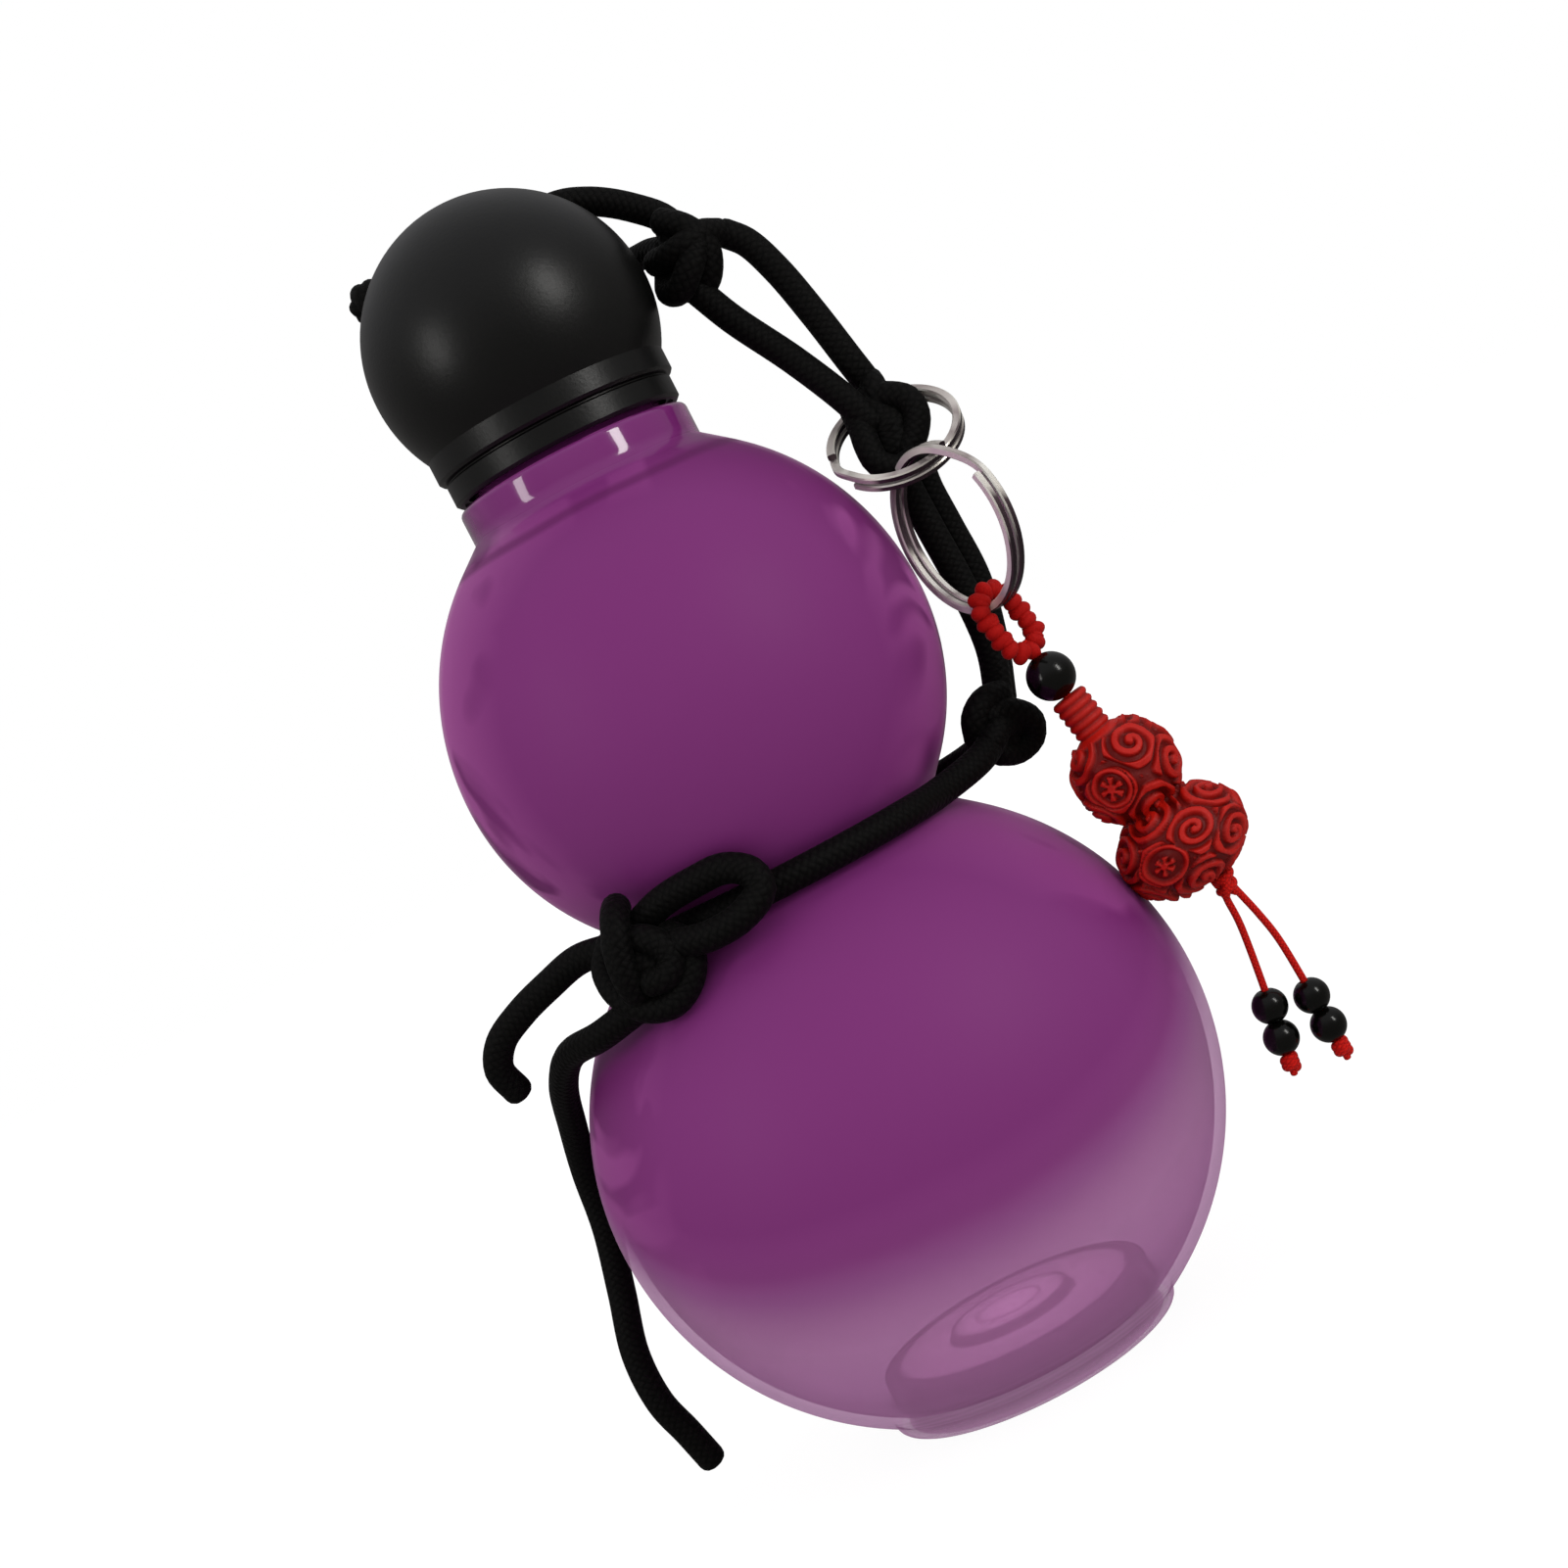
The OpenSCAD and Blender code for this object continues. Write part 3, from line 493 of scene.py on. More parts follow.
def carved_lacquer():
    """Red lacquer, painted darker down in the carving as shade. The mesh says how deep each point lies."""
    n = Nodes("carved_lacquer")
    depth = n.add("ShaderNodeAttribute", attribute_name="carving").outputs["Fac"]
    place = n.add("ShaderNodeNewGeometry").outputs["Position"]
    raised = n.mix(n.noise(place, 260.0, 4.0), srgb(160, 11, 4), srgb(188, 22, 8))
    bump = n.bump(0.25, 0.0001, n.noise(place, 2200.0, 3.0))
    # The recesses are painted a darker red: painted shade
    return n.finish(n.add("ShaderNodeBsdfPrincipled", {
        "Base Color": n.mix(depth, srgb(104, 5, 2), raised), "Roughness": 0.5, "Normal": bump,
        "Specular IOR Level": 0.25,
    }).outputs[0])


# ---------------------------------------------------------------- camera, light, floor


def add_camera():
    """The photograph's camera: tipped down a little and rolled."""
    right = np.array((1.0, 0, 0))
    up = np.array((0, math.sin(CAMERA_PITCH), math.cos(CAMERA_PITCH)))
    ahead = np.array((0, math.cos(CAMERA_PITCH), -math.sin(CAMERA_PITCH)))
    c, s = math.cos(CAMERA_ROLL), math.sin(CAMERA_ROLL)
    axes = np.stack([c * right - s * up, s * right + c * up, -ahead], 1)
    data = bpy.data.cameras.new("camera")
    data.lens, data.sensor_width = CAMERA_LENS, 36.0
    data.clip_start = 0.01
    camera = bpy.data.objects.new("camera", data)
    bpy.context.scene.collection.objects.link(camera)
    camera.matrix_world = Matrix.Translation(CAMERA_AT) @ Matrix(axes.tolist()).to_4x4()
    bpy.context.scene.camera = camera


def add_area(name, at, look_at, size, power, colour=(1, 1, 1), reflected=True):
    """A rectangular lamp in metres and watts. One that isn't reflected only lights matt surfaces."""
    data = bpy.data.lights.new(name, "AREA")
    data.shape, data.size, data.size_y = "RECTANGLE", size[0], size[1]
    data.energy, data.color = power, colour
    light = bpy.data.objects.new(name, data)
    bpy.context.scene.collection.objects.link(light)
    light.location = at
    light.visible_glossy = reflected
    light.rotation_mode = "QUATERNION"
    light.rotation_quaternion = (Vector(look_at) - Vector(at)).to_track_quat("-Z", "Y")


def seen_directly(n):
    """1 for camera and transmission rays, which show the background."""
    path = n.add("ShaderNodeLightPath")
    return n.math("MAXIMUM", path.outputs["Is Camera Ray"], path.outputs["Is Transmission Ray"])


def add_world():
    """A soft room: paler overhead than at eye level. Camera and glass see plain white behind it."""
    world = bpy.data.worlds.new("studio")
    bpy.context.scene.world = world
    world.use_nodes = True
    n = Nodes(None, world.node_tree)
    heading = n.add("ShaderNodeTexCoord").outputs["Generated"]
    up = n.add("ShaderNodeSeparateXYZ", {0: heading}).outputs[2]
    level = n.ramp(n.math("MULTIPLY_ADD", up, 0.5, 0.5), [
        (0.0, (0.30, 0.29, 0.28, 1)), (0.46, (0.36, 0.35, 0.34, 1)), (0.62, (0.46, 0.45, 0.45, 1)),
        (0.80, (0.80, 0.80, 0.82, 1)), (1.0, (0.95, 0.95, 0.98, 1)),
    ])
    room = n.add("ShaderNodeBackground", {"Color": level, "Strength": ROOM_LEVEL}).outputs[0]
    white = n.add("ShaderNodeBackground", {"Color": (1, 1, 1, 1), "Strength": 1.0}).outputs[0]
    mixed = n.add("ShaderNodeMixShader", {0: seen_directly(n), 1: room, 2: white}).outputs[0]
    n.add("ShaderNodeOutputWorld", {"Surface": mixed})


def add_floor():
    """A plain pale floor that shows as white, keeps a light shadow and goes plain white further off."""
    half = 6.0
    corners = [(-half, -half, 0), (half, -half, 0), (half, half, 0), (-half, half, 0)]
    floor = new_mesh("floor", corners, [(0, 1, 2, 3)], None)
    n = Nodes("floor_paint")
    matt = n.add("ShaderNodeBsdfDiffuse", {"Color": (0.62, 0.61, 0.6, 1)}).outputs[0]
    white = n.add("ShaderNodeEmission", {"Color": (1, 1, 1, 1), "Strength": 1.1}).outputs[0]
    place = n.add("ShaderNodeNewGeometry").outputs["Position"]
    away = n.add("ShaderNodeVectorMath", {0: place}, operation="LENGTH").outputs["Value"]
    share = n.math("MULTIPLY", seen_directly(n), n.fade(away, 0.15, 0.6, 0.86, 1.0))
    paper = n.add("ShaderNodeMixShader", {0: share, 1: matt, 2: white}).outputs[0]
    floor.data.materials.append(n.finish(paper))
    floor.visible_glossy = False


# ---------------------------------------------------------------- cords


def add_cord(name, points, node, body, radius, look, sides=20, step=0.9):
    """A cord along a smooth line through the points, in millimetres. Returns it and its line."""
    line = smooth_line(mm(points), step * MM)
    obj = tube(name, line, radius * MM, body, sides)
    paint(obj, look)
    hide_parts(node)
    return obj, line


def add_strap(look):
    """The black cords. The two strands run from the knot at the cap to the knot at the rings, and
    ride on no body."""
    waist_front = WAIST_FRONT_IN + waist_arc(-30, -130)
    waist_back = waist_arc(-138, -330) + WAIST_BACK_IN
    strap = (
        ("cap_cord_braid", CAP_CORD, "cap_cord", "cap", "knot", "hanging"),
        ("cap_knot_tail_braid", CAP_KNOT_TAIL, "cap_knot_tail", "cap", None, None),
        ("outer_strand_braid", OUTER_STRAND, "outer_strand", None, "knot", "hanging"),
        ("inner_strand_braid", INNER_STRAND, "inner_strand", None, "knot", "hanging"),
        ("band_inner_braid", BAND_INNER, "band_cord_inner", "bottle", "knot", "hanging"),
        ("band_outer_braid", BAND_OUTER, "band_cord_outer", "bottle", "knot", "hanging"),
        ("waist_front_braid", waist_front, "waist_cord_front", "bottle", "knot", "taut"),
        ("waist_back_braid", waist_back, "waist_cord_back", "bottle", "knot", "taut"),
        ("bow_loop_braid", BOW, "bow_loop", "bottle", "knot", "loose"),
        ("short_tail_braid", SHORT_TAIL, "short_tail", "bottle", "bare", "hanging"),
        ("long_tail_braid", LONG_TAIL, "long_tail", "bottle", "bare", "hanging"),
    )
    for name, points, node, body, far_end, lay in strap:
        radius = CORD_R if far_end else CORD_R - 0.2
        obj, line = add_cord(name, points, node, body, radius, look)
        if body is None:
            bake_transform(obj)


def add_charm_strings(look):
    """The cord inside the charm, the knot under the gourd and the two strings with end knots."""
    core = on_charm([(0, 0, -CORE_TOP_DROP + 0.8), (0, 0, -FOOT_KNOT_DROP)]) / MM
    core_points = [core[0], (core[0] + core[1]) / 2, core[1]]
    add_cord("charm_core_twist", core_points, "charm_core_cord", "charm", 0.7, look, 12)
    foot = foot_knot_at()
    for side, run in (("left", LEFT_RUN), ("right", RIGHT_RUN)):
        body = f"{side}_drop"
        low, above = np.array(run[-1]), np.array(run[-2])
        tip = low + (low - above) / np.linalg.norm(low - above) * 2.0
        points = [foot + p for p in [(run[0][0] * 0.4, 0, 0.2)] + run + [tuple(tip)]]
        obj, line = add_cord(
            f"{side}_string_twist", points, f"{side}_string", body, STRING_R, look, 12, 0.5)
        tie = [foot + low + p for p in end_knot_turns(low - above)]
        add_knot(f"{side}_end_knot_cord", f"{side}_end_knot", body, look, [tie], 0.95)
    over = (
        (-0.9, -0.4, -1.9), (-0.4, -1.2, -0.6), (0.4, -1.1, 0.8), (0.9, 0.1, 1.5),
        (0.1, 0.9, 0.9), (0.2, 0.6, -1.2), (0.9, -0.2, -2.0),
    )
    add_knot("foot_knot_cord", "charm_foot_knot", "charm", look, [
        coil(foot, (15, 0, 20), 1.15, 2.1, 1.9, 30), [foot + p for p in over],
    ], 0.75)


def foot_knot_at():
    """The knot under the gourd, from which the strings hang, in millimetres."""
    return on_charm([(0, 0, -FOOT_KNOT_DROP)])[0] / MM + np.array((FOOT_KNOT_SHIFT, 0, 0))


def end_knot_turns(way):
    """Two close turns of string round the direction given, for a long narrow end knot."""
    way = np.asarray(way, float) / np.linalg.norm(way)
    side = np.array((0.0, 1.0, 0.0))
    across = np.cross(way, side)
    turns, coil_r, length = 2.3, 0.6, 1.9
    return [
        way * (length * f - 0.9)
        + coil_r * (math.cos(turns * 2 * math.pi * f) * side + math.sin(turns * 2 * math.pi * f) * across)
        for f in np.linspace(0, 1, 25)
    ]


def waist_arc(a, b):
    """Points round the waist from angle a to b in degrees, in millimetres."""
    count = round(abs(b - a) / 20)
    return [
        (WAIST_R * math.cos(math.radians(t)), WAIST_R * math.sin(math.radians(t)), WAIST_Z)
        for t in (a + (b - a) * i / count for i in range(count + 1))
    ]


# ---------------------------------------------------------------- knots


def coil(at, tilt, radius, turns, spacing, start):
    """Points of a few turns of cord round a local Z axis, in millimetres."""
    t = np.linspace(0, turns, int(turns * 24) + 1)
    a = np.radians(start) + 2 * math.pi * t
    points = np.stack([radius * np.cos(a), radius * np.sin(a), spacing * (t - turns / 2)], 1)
    return turned(points, tilt, at)


def add_knot(name, node, body, look, turns_of_cord, radius=2.2, core=None):
    """A knot as lengths of cord that wrap and cross, over a thicker core of given points and radii."""
    lines = [smooth_line(mm(points), 0.8 * MM) for points in turns_of_cord]
    parts = [tube(f"{name}_{i}", line, radius * MM, body, 16) for i, line in enumerate(lines)]
    if core:
        line = smooth_line(mm(core[0]), 0.8 * MM)
        share = np.linspace(0, len(core[1]) - 1, len(line))
        thick = np.interp(share, range(len(core[1])), core[1]) * MM
        parts.append(tube(f"{name}_core", line, thick, body, 20))
    for part in parts:
        paint(part, look)
    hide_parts(node)


def add_knots(look):
    """Each knot but the stopper knot has a thick core, so that no light shows through, and each has
    lengths of cord drawn over it.
    """
    add_knot("stopper_knot_cord", "stopper_knot", "cap", look, [
        coil((-17.6, 5, 201.8), (0, 90, 0), 1.7, 1.6, 1.8, 40),
        [(-15.5, 5, 201.8), (-18, 4.6, 202.2), (-19.6, 5.2, 201.6)],
    ], 1.75)
    add_knot("cap_knot_cord", "cap_knot", "cap", look, [
        [(30.2, 0.4, 191), (33, -1.5, 188), (34.6, -0.9, 184.4), (33.2, 0.6, 180.4),
         (30.6, 3.4, 179.2), (28.4, 5.4, 181.4)],
        [(33.2, -2.0, 185), (30.4, -2.6, 181.8), (27.7, -1, 179.8), (26.3, 2, 180.8),
         (27.4, 4.8, 183.6)],
        [(26.6, 3.4, 186), (28.9, -0.8, 185.4), (31.6, -2.4, 185.6), (34.8, -1.2, 186.2),
         (37.4, 1.2, 185.6)],
    ], 2.3, core=([(31.4, 2.4, 190), (31.6, 1.8, 185.4), (29.8, 1.8, 181.2)], (3.0, 4.1, 3.0)))
    rim = np.linspace(0.3, 5.9, 14)
    over_rim = np.stack([3.7 * np.cos(rim), 3.7 * np.sin(rim), 1.2 * np.sin(rim / 2)], 1)
    add_knot("ring_knot_cord", "ring_knot", "bottle", look, [
        [(46.4, 1, 151), (49.6, -1, 149.9), (52.1, -2.2, 147.8), (52.3, -2.6, 145),
         (50.8, -2.6, 142.4), (48.6, -2.4, 140.4)],
        [(43.6, -0.6, 150.2), (43.4, -1.8, 147), (42.8, -3.6, 143.6), (43, -4.6, 140.6),
         (45.4, -5, 138.4), (48.6, -4, 138.6)],
        turned(over_rim, (0, 90, 0), (47.3, 3.42, 149.89)),
    ], 2.2, core=([(46, 0.4, 149.6), (47.6, 0.4, 145), (46.8, 0.2, 141.4)], (2.8, 4.2, 4.0)))
    add_knot("side_knot_cord", "side_knot", "bottle", look, [
        [(43.6, -2.6, 99), (40.6, -5, 99.2), (38.1, -5.7, 97.4), (37.2, -4.4, 94.4)],
        [(40.6, -4.8, 96.8), (43.8, -4, 95.8), (46.2, -2.4, 93), (45.2, -1, 90.4),
         (42.2, -1.6, 89.6), (39.4, -3.6, 90.8)],
        [(43.6, -2.6, 93.8), (41.4, -5, 94.6), (38.6, -7, 93)],
    ], 2.3, core=([(42.8, 0.6, 98), (41.4, -1, 94.6), (40.4, -2.4, 92.4)], (3.2, 4.2, 3.4)))
    add_knot("tie_knot_cord", "tie_knot", "bottle", look, [
        [(-24.6, -28.6, 98), (-25.2, -32.2, 97), (-26, -34.4, 94.8), (-27, -34.8, 92),
         (-27.5, -34.4, 88.6), (-27.4, -32.6, 85.4), (-26.6, -29.8, 83.8)],
        [(-19.4, -31.2, 91), (-17.8, -33, 89.4), (-17.6, -33.8, 86.6), (-19.6, -34, 83.6),
         (-23, -33.6, 81.8), (-27.2, -32, 82.8), (-30.2, -29.4, 86.6), (-30.4, -26.6, 90.4),
         (-28, -25.6, 93.4)],
        [(-25.8, -31.8, 93), (-22.6, -33.8, 92.2), (-20.6, -34.6, 90), (-20.4, -34.8, 87.6),
         (-22, -35, 86), (-24.6, -34.4, 86.2)],
    ], 2.3, core=([(-25.8, -29, 93), (-24.2, -31, 89), (-22.8, -32, 86.4)], (4, 4.4, 3.6)))


# ---------------------------------------------------------------- bottle


def half_width(a, h, t):
    """Half the width of an ellipse of half axes a across and h up, at t above its centre."""
    return a * math.sqrt(1 - (t / h) ** 2) if abs(t) < h else 0.0


def body_at(z, inset):
    """Radius of the bottle's side at height z, drawn in by inset: two globes and a neck, blended."""
    low = half_width(LOWER_R - inset, (LOWER_R if z < LOWER_Z else LOWER_TOP_H) - inset, z - LOWER_Z)
    high = half_width(UPPER_R - inset, (UPPER_R if z < UPPER_Z else UPPER_TOP_H) - inset, z - UPPER_Z)
    globes = (low ** BLEND + high ** BLEND) ** (1 / BLEND)
    if z < UPPER_Z:
        return globes
    return (globes ** (2 * BLEND) + (NECK_R - inset) ** (2 * BLEND)) ** (1 / (2 * BLEND))


def arc(centre, radius, a, b, count):
    """Points on an arc in the outline's plane, angles in degrees."""
    return [
        (centre[0] + radius * math.cos(math.radians(t)), centre[1] + radius * math.sin(math.radians(t)))
        for t in np.linspace(a, b, count)
    ]


def add_bottle():
    """The bottle's shell: the outside up from the pushed-up base to the lip, then the inside down."""
    outside = [(body_at(z, 0), z) for z in np.arange(3.4, 157.0, 1.0)]
    inside = [(body_at(z, WALL), z) for z in np.arange(157.0, 4.6, -1.2)]
    outline = (
        [(0.01, 8.0), (8.6, 8.0), (9.4, 7.4), (9.8, 6.6), (10.6, 6.4), (19.6, 6.4)]
        + arc((20.4, 5.2), 1.2, 90, 0, 4) + [(22.0, 1.2)] + arc((23.0, 1.0), 1.0, 180, 270, 5)
        + arc((24.3, 1.0), 1.0, 270, 350, 5) + [(FOOT_R, 1.9), (FOOT_R + 0.4, 2.5)]
        + outside
        + [(NECK_R, 158.2), (NECK_R, 160.0)] + arc((NECK_R - 1.0, COLLAR_TOP_Z - 1.0), 1.0, 0, 90, 5)
        + [(FINISH_R + 0.3, COLLAR_TOP_Z), (FINISH_R, COLLAR_TOP_Z + 0.3), (FINISH_R, LIP_Z - 0.6)]
        + arc((FINISH_R - 0.6, LIP_Z - 0.6), 0.6, 0, 90, 4)
        + arc((MOUTH_R + 0.5, LIP_Z - 0.5), 0.5, 90, 180, 4)
        + [(MOUTH_R, 163.0)]
        + inside
        + [(23.6, 3.7)] + arc((22.9, 7.6), 0.7, 0, 90, 4) + [(11.4, 8.4)]
        + [(10.9, 8.9), (10.5, 9.8), (0.01, 10.0)]
    )
    bottle = revolve("bottle_shell", mm(outline), "bottle", 192)
    paint(bottle, bottle_plastic())
    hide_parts("bottle_body")


# ---------------------------------------------------------------- rings, beads and charm


def wire_side(a):
    """How far the wire's middle lies to the side at angle a, as it crosses from turn to turn."""
    t = min(1.0, max(0.0, (a - 360 + CROSS_OVER) / CROSS_OVER))
    return (t * t * (3 - 2 * t) - 0.5) * (WIRE_W + TURN_GAP)


def split_ring(name, radius, tilt, at, body, look, node, spin):
    """Flat wire with rounded edges, wound in two turns side by side. The ends lie at angle spin."""
    angles = np.arange(0, 720 - CROSS_OVER + 1, 4.0)
    e, half = 0.22, WIRE_W / 2
    bore = radius - WIRE_T
    section = [
        (bore + e, -half), (radius - e, -half), (radius, -half + e), (radius, half - e),
        (radius - e, half), (bore + e, half), (bore, half - e), (bore, -half + e),
    ]
    verts = [
        (r * math.cos(math.radians(a + spin)), r * math.sin(math.radians(a + spin)), wire_side(a) + w)
        for a in angles for r, w in section
    ]
    k = len(section)
    faces = grid_faces(len(angles), k, True)
    faces += [tuple(range(k)), tuple(range(len(verts) - 1, len(verts) - 1 - k, -1))]
    ring = new_mesh(name, mm(turned(verts, tilt, at)), faces, body)
    ring.modifiers.new("edges", "EDGE_SPLIT").split_angle = math.radians(40)
    paint(ring, look)
    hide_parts(node)


def charm_axes():
    """The charm's own axes in the row frame, as the columns of a matrix."""
    lean = Matrix.Rotation(math.radians(-CHARM_LEAN), 3, "Y")
    return np.array(lean @ Matrix.Rotation(math.radians(CHARM_TURN), 3, "Z"))


def on_charm(points):
    """Millimetres in the charm's own axes, with Z up from the ring's wire, to the row frame."""
    return mm(np.asarray(points, float) @ charm_axes().T + np.asarray(CHARM_AT))


def add_charm_loop(look):
    """The charm's loop: a cord with a row of half-hitches round it, which show as fat knobs, each
    a large lump and a small one beside it."""
    straight, mid_r, count = 5.4, 2.9, 16
    large, small = (1.3, 1.6, 1.9), (0.7, 1.25, 1.1)
    bend = np.radians(np.linspace(0, 180, 19))
    line = np.vstack([
        np.stack([mid_r * np.cos(bend), mid_r * np.sin(bend)], 1),
        np.stack([-mid_r * np.cos(bend), -mid_r * np.sin(bend) - straight], 1),
    ])
    closed = np.vstack([line, line[:1]])
    run = np.concatenate([[0], np.cumsum(np.linalg.norm(np.diff(closed, axis=0), axis=1))])
    rows, cols = 11, 18
    lat = (math.pi * (np.arange(rows) + 0.5) / rows - math.pi / 2)[:, None]
    lon = (2 * math.pi * np.arange(cols) / cols)[None, :]
    ball = [np.cos(lat) * np.cos(lon), np.cos(lat) * np.sin(lon), np.sin(lat) + 0 * lon]
    round_part = np.stack(ball, 2).reshape(-1, 3)
    verts, faces = [], []

    def lump(centre, axes, half):
        base = len(verts)
        verts.extend(centre + (round_part * half) @ axes)
        faces.extend(tuple(base + v for v in f) for f in grid_faces(rows, cols, True))
        faces.append(tuple(base + c for c in range(cols - 1, -1, -1)))
        faces.append(tuple(base + (rows - 1) * cols + c for c in range(cols)))

    for i in range(count):
        s = (i + 0.5) / count * run[-1]
        here = np.array([np.interp(s, run, closed[:, k]) for k in (0, 1)])
        ahead = np.array([np.interp((s + 0.3) % run[-1], run, closed[:, k]) for k in (0, 1)]) - here
        ahead = ahead / np.linalg.norm(ahead)
        along = np.array((ahead[0], 0, ahead[1]))
        outward = np.array((ahead[1], 0, -ahead[0]))
        across = np.array((0, 1.0, 0))
        lean = 1 if i % 2 else -1
        long_way = outward * 0.8 + across * 0.6 * lean
        axes = np.stack([along, np.cross(along, long_way), long_way])
        lump(np.array((here[0], 0, here[1])) + outward * 0.2, axes, large)
        axes = np.stack([along, outward, across])
        lump(np.array((here[0], -0.55 * lean, here[1])) + along * 0.75, axes, small)
    loop = new_mesh("charm_loop_knots", on_charm(verts), faces, "charm")
    paint(loop, look)
    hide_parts("charm_loop")


def gourd_at(drop):
    """Radius of the carved gourd at a drop below the ring's wire."""
    p = 8
    top = half_width(TOP_LOBE_R, TOP_LOBE_R, drop - TOP_LOBE_DROP)
    low = half_width(LOW_LOBE_R, LOW_LOBE_H, drop - LOW_LOBE_DROP)
    neck = NECK_RIB_R - 0.3 if drop < TOP_LOBE_DROP else 0
    return (top ** p + low ** p + neck ** p) ** (1 / p)


def scroll_height(points, centres, size, spin, rim):
    """Height of carved scrolls, 0 to 1, at points on a lobe. Each point belongs to the nearest centre,
    round which the relief winds as a spiral; a centre with a rim is a round medallion."""
    directions = points / np.linalg.norm(points, axis=1)[:, None]
    near = directions @ centres.T
    order = np.argsort(-near, axis=1)
    first, second = order[:, 0], order[:, 1]
    rows = np.arange(len(points))
    gap = np.arccos(np.clip(near[rows, first], -1, 1)) - np.arccos(np.clip(near[rows, second], -1, 1))
    c = centres[first]
    side = np.cross(c, np.tile((0.0, 0.0, 1.0), (len(c), 1)))
    side /= np.linalg.norm(side, axis=1)[:, None] + 1e-9
    up = np.cross(side, c)
    x, y = np.einsum("ij,ij->i", directions, side), np.einsum("ij,ij->i", directions, up)
    rho = np.hypot(x, y) * size
    phi = np.arctan2(y, x)
    phase = rho / SCROLL_PITCH - spin[first] * phi / (2 * math.pi)
    ridge = 0.5 + 0.5 * np.cos(2 * math.pi * phase)
    scroll = np.clip((ridge - 0.32) / 0.3, 0, 1)
    border = np.clip((-gap * size - 0.35) / 0.4, 0, 1)
    height = scroll * border
    height[rho < 0.45] = 1
    petals = np.clip((0.15 + 0.5 * np.cos(6 * phi)) / 0.25, 0, 1)
    medal = np.where(rho < 0.7, 1.0, np.where(rho < 1.9, petals, 0.0))
    ring = np.clip(1 - np.abs(rho - rim[first]) / 0.45, 0, 1)
    medal = np.maximum(medal, np.clip(ring * 2, 0, 1))
    inside = (rim[first] > 0) & (rho < rim[first] + 0.45)
    height[inside] = medal[inside]
    return height


def spread_centres(count, start, medallion):
    """Directions spread evenly over a lobe, the first of them turned to where the medallion is."""
    k = np.arange(count) + 0.5
    z = 1 - 2 * k / count
    a = math.pi * (1 + 5 ** 0.5) * k + start
    d = np.stack([np.sqrt(1 - z * z) * np.cos(a), np.sqrt(1 - z * z) * np.sin(a), z], 1)
    m = np.asarray(medallion, float)
    m /= np.linalg.norm(m)
    d = d[np.argsort(-(d @ m))]
    d[0] = m
    return d


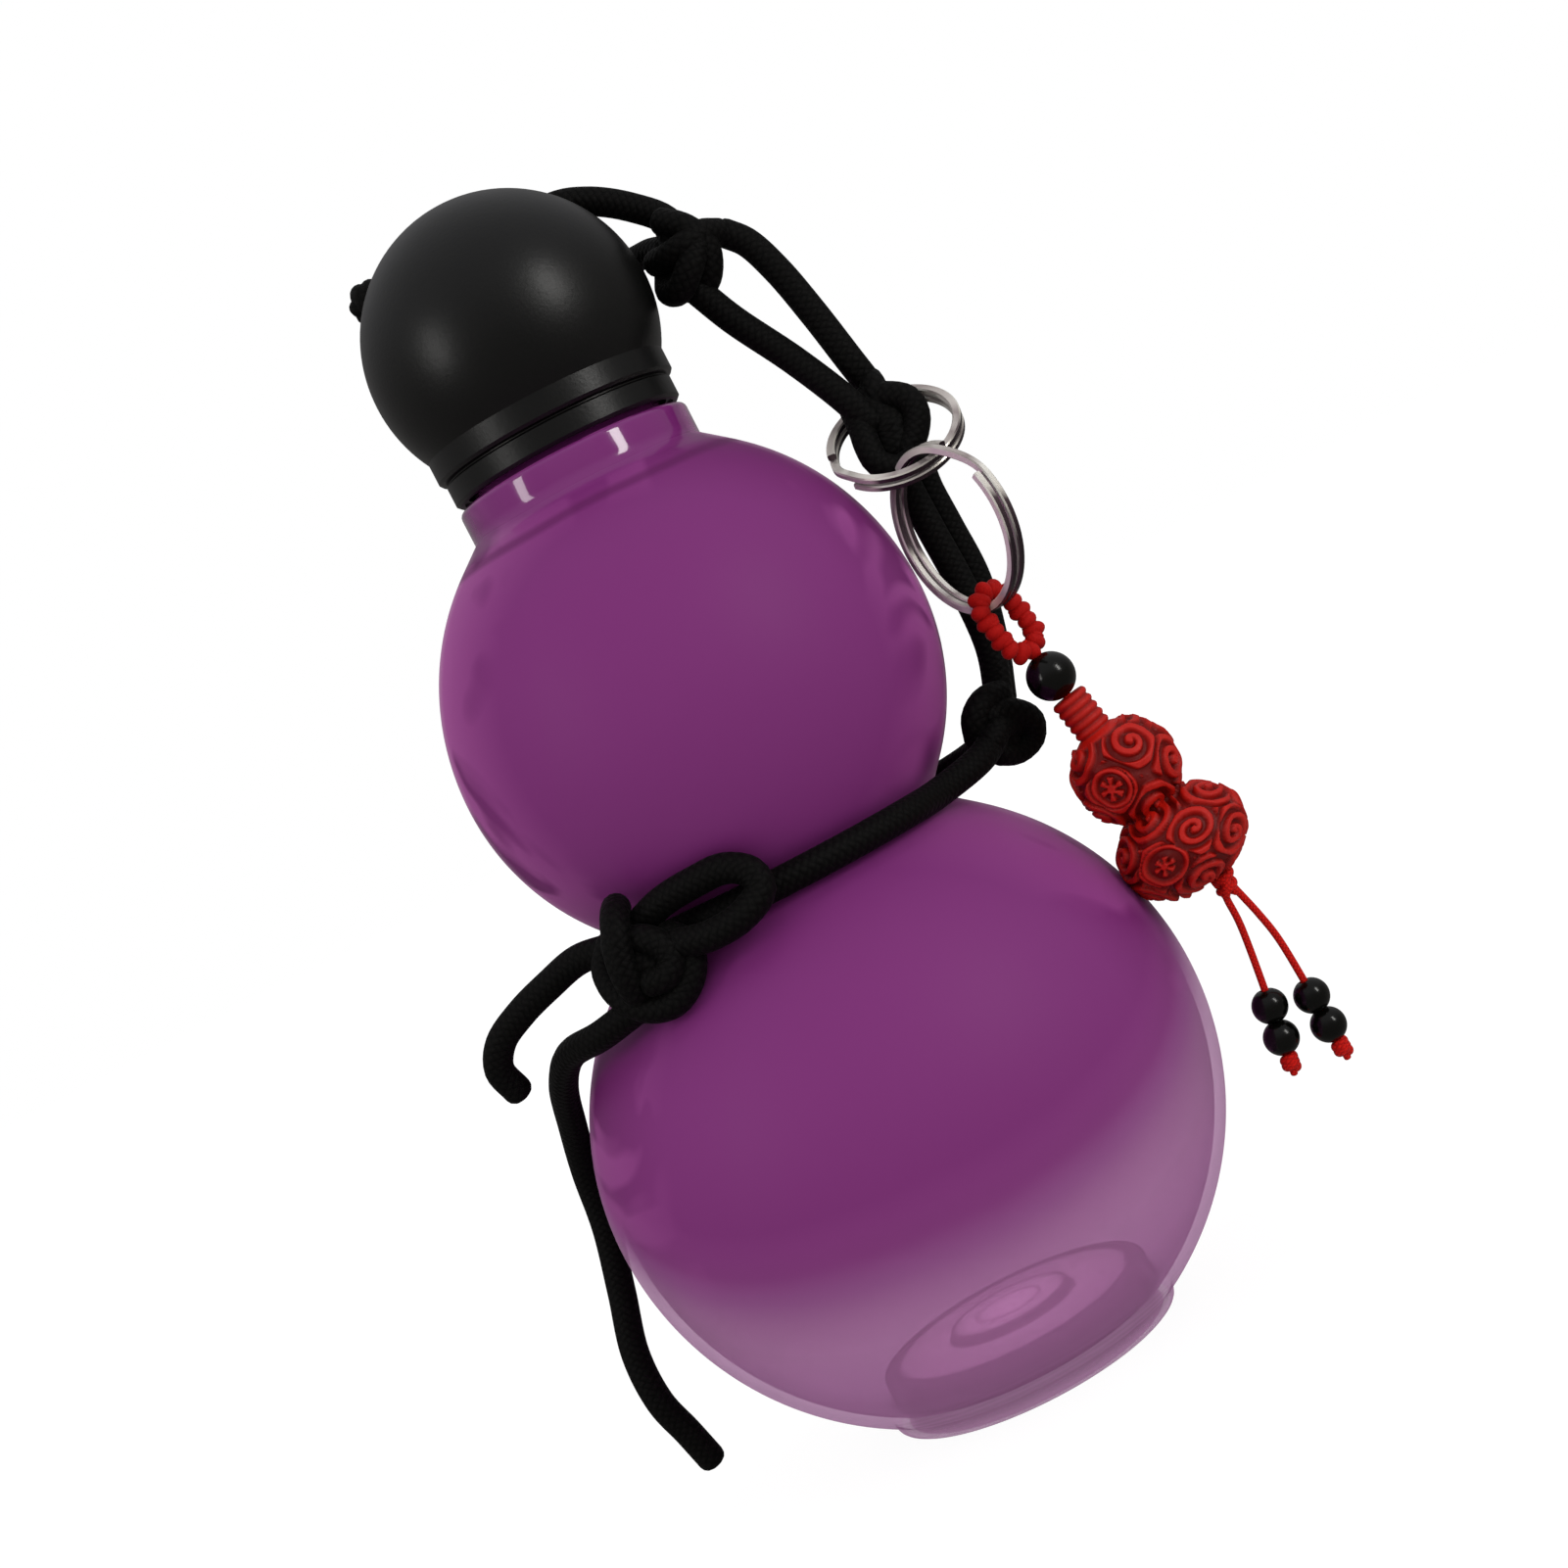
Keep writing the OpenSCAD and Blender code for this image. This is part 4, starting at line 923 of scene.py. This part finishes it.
def add_gourd(look):
    """The carved gourd: its outline turned round, then raised into scrolls and two medallions."""
    neck = []
    for i in range(NECK_RIBS):
        top = GOURD_TOP_DROP + i * NECK_RIB_H
        for f in RIB_SHARES:
            neck.append((NECK_RIB_R - 0.45 + 0.45 * math.sin(math.pi * f), top + f * NECK_RIB_H))
    foot_of_neck = GOURD_TOP_DROP + NECK_RIBS * NECK_RIB_H
    drops = np.arange(foot_of_neck + 0.15, GOURD_FOOT_DROP, 0.16)
    side = neck + [(max(gourd_at(d), NECK_RIB_R), d) for d in drops]
    outline = np.array([(0.85, GOURD_TOP_DROP)] + side + [(0.85, GOURD_FOOT_DROP)])
    segments = 320
    angle = np.linspace(0, 2 * math.pi, segments, endpoint=False)
    ring = np.stack([np.cos(angle), np.sin(angle)], 1)
    r, drop = outline[:, 0], outline[:, 1]
    points = np.concatenate([
        r[:, None, None] * ring[None, :, :],
        np.broadcast_to(-drop[:, None, None], (len(outline), segments, 1)),
    ], 2)
    level = np.zeros((len(outline), segments))
    medal_side = charm_axes().T @ np.array((-0.5, -0.85, -0.12))
    top, foot = foot_of_neck + 0.9, GOURD_FOOT_DROP - 0.4
    lobes = (
        (TOP_LOBE_DROP, TOP_LOBE_R, TOP_LOBE_R, TOP_MEDAL_R, 13, 0.4, top, GOURD_WAIST_DROP),
        (LOW_LOBE_DROP, LOW_LOBE_R, LOW_LOBE_H, LOW_MEDAL_R, 17, 1.1, GOURD_WAIST_DROP, foot),
    )
    for centre_drop, wide, tall, medal_r, count, start, low, high in lobes:
        rows = (drop > low) & (drop <= high)
        local = (points[rows] - np.array((0, 0, -centre_drop))).reshape(-1, 3)
        local = local / np.array((wide, wide, tall))
        centres = spread_centres(count, start, medal_side)
        spin = np.where(np.arange(count) % 2 == 0, 1.0, -1.0)
        rim = np.zeros(count)
        rim[0] = medal_r
        level[rows] = scroll_height(local, centres, wide, spin, rim).reshape(-1, segments)
    lumpy = np.sin(7 * angle + 2.1)[None, :] * np.sin(0.9 * drop + 0.7)[:, None]
    lumpy = lumpy + np.sin(11 * angle)[None, :] * np.cos(1.3 * drop)[:, None]
    cut = (level - 0.5) * CARVING_DEPTH + 0.16 * lumpy
    cut[(drop <= top) | (drop > foot)] = 0
    cut[0] = cut[-1] = 0
    out = np.gradient(outline, axis=0)
    normal = np.stack([-out[:, 1], out[:, 0]], 1)
    normal /= np.linalg.norm(normal, axis=1)[:, None] + 1e-12
    normal *= np.where(normal[:, 0] < 0, -1, 1)[:, None]
    points[:, :, :2] += (cut * normal[:, 0][:, None])[:, :, None] * ring[None, :, :]
    points[:, :, 2] -= cut * normal[:, 1][:, None]
    faces = grid_faces(len(outline), segments, True)
    gourd = new_mesh("charm_gourd_carved", on_charm(points.reshape(-1, 3)), faces, "charm")
    # The carving's level, raised 1 and sunk 0, from which the lacquer paints shade in the recesses; the
    # grooves between the neck's ribs get it too
    depth = gourd.data.attributes.new("carving", "FLOAT", "POINT")
    level[drop <= top] = 1.0
    for i in range(len(neck)):
        share = RIB_SHARES[i % len(RIB_SHARES)]
        level[i + 1] = 0.25 + 0.75 * math.sin(math.pi * share)
    depth.data.foreach_set("value", level.astype(np.float32).ravel())
    paint(gourd, look)
    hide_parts("charm_gourd")


def paint_cad_nodes():
    """The cap, the seal and the beads keep their CAD shapes and get a look of their own."""
    bead = moulded("black_gloss_bead", srgb(3, 3, 2), srgb(6, 6, 4), 0.2, 0.12, 0.3)
    cap = moulded("black_satin_cap", srgb(5, 5, 5), srgb(9, 9, 8), 0.38, 0.0, 0.4, 1500.0, 0.12)
    seal = moulded("white_seal", srgb(214, 214, 208), srgb(226, 226, 222), 0.6)
    beads = ("charm_big_bead", "left_upper_bead", "left_lower_bead", "right_upper_bead",
             "right_lower_bead")
    for look, nodes in ((cap, ("cap_shell", "cap_liner")), (seal, ("seal_ring",)), (bead, beads)):
        for node in nodes:
            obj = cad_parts[node]
            obj.data.materials.clear()
            obj.data.materials.append(look)


def add_light():
    """Two windows that show in the gloss, soft light from above and all round, and a weak lamp in
    the base for the light that clear plastic carries."""
    add_world()
    add_area("window_left", (-0.62, -0.46, 0.36), OBJECT_AT, WINDOW_SIZE, 0.8, WINDOW)
    add_area("window_right", (0.56, -0.52, 0.40), OBJECT_AT, WINDOW_SIZE, 1.5, WINDOW)
    base_at = (0, 0, BASE_LIGHT_Z)
    add_area("base_light", base_at, (0, 0, 0), BASE_LIGHT_SIZE, BASE_LIGHT_POWER, reflected=False)
    add_area("ceiling", (0, 0, 1.4), OBJECT_AT, (1.6, 1.6), 7.0, reflected=False)
    for k, power in enumerate(FILL_POWERS):
        turn = math.radians(90 * k - 90)
        at = (FILL_AWAY * math.cos(turn), FILL_AWAY * math.sin(turn), FILL_Z)
        add_area(f"fill_{k}", at, OBJECT_AT, (1.3, 1.0), power, reflected=False)


def build():
    add_camera()
    cord_look = braid("black_braid", srgb(2, 2, 2), srgb(11, 10, 9), 1.95 * MM, 1.3 * MM, 0.00013, 0.008)
    string_look = braid("red_twist", srgb(150, 8, 6), srgb(214, 26, 16), 0.9 * MM, 0.7 * MM, 0.0001)
    add_strap(cord_look)
    add_charm_strings(string_look)
    add_knots(cord_look)
    add_bottle()
    steel = wire_steel()
    split_ring("small_ring_wire", SMALL_RING_R, (SMALL_RING_TILT, 0, 0), SMALL_RING_AT,
               "small_ring", steel, "small_split_ring", SMALL_RING_SPIN)
    split_ring("large_ring_wire", LARGE_RING_R, (90, 0, LARGE_RING_TURN), LARGE_RING_AT,
               "large_ring", steel, "large_split_ring", LARGE_RING_SPIN)
    add_charm_loop(string_look)
    add_gourd(carved_lacquer())
    paint_cad_nodes()
    add_light()
    add_floor()
    bpy.context.scene.view_settings.view_transform = "Standard"


build()
bpy.context.view_layer.update()
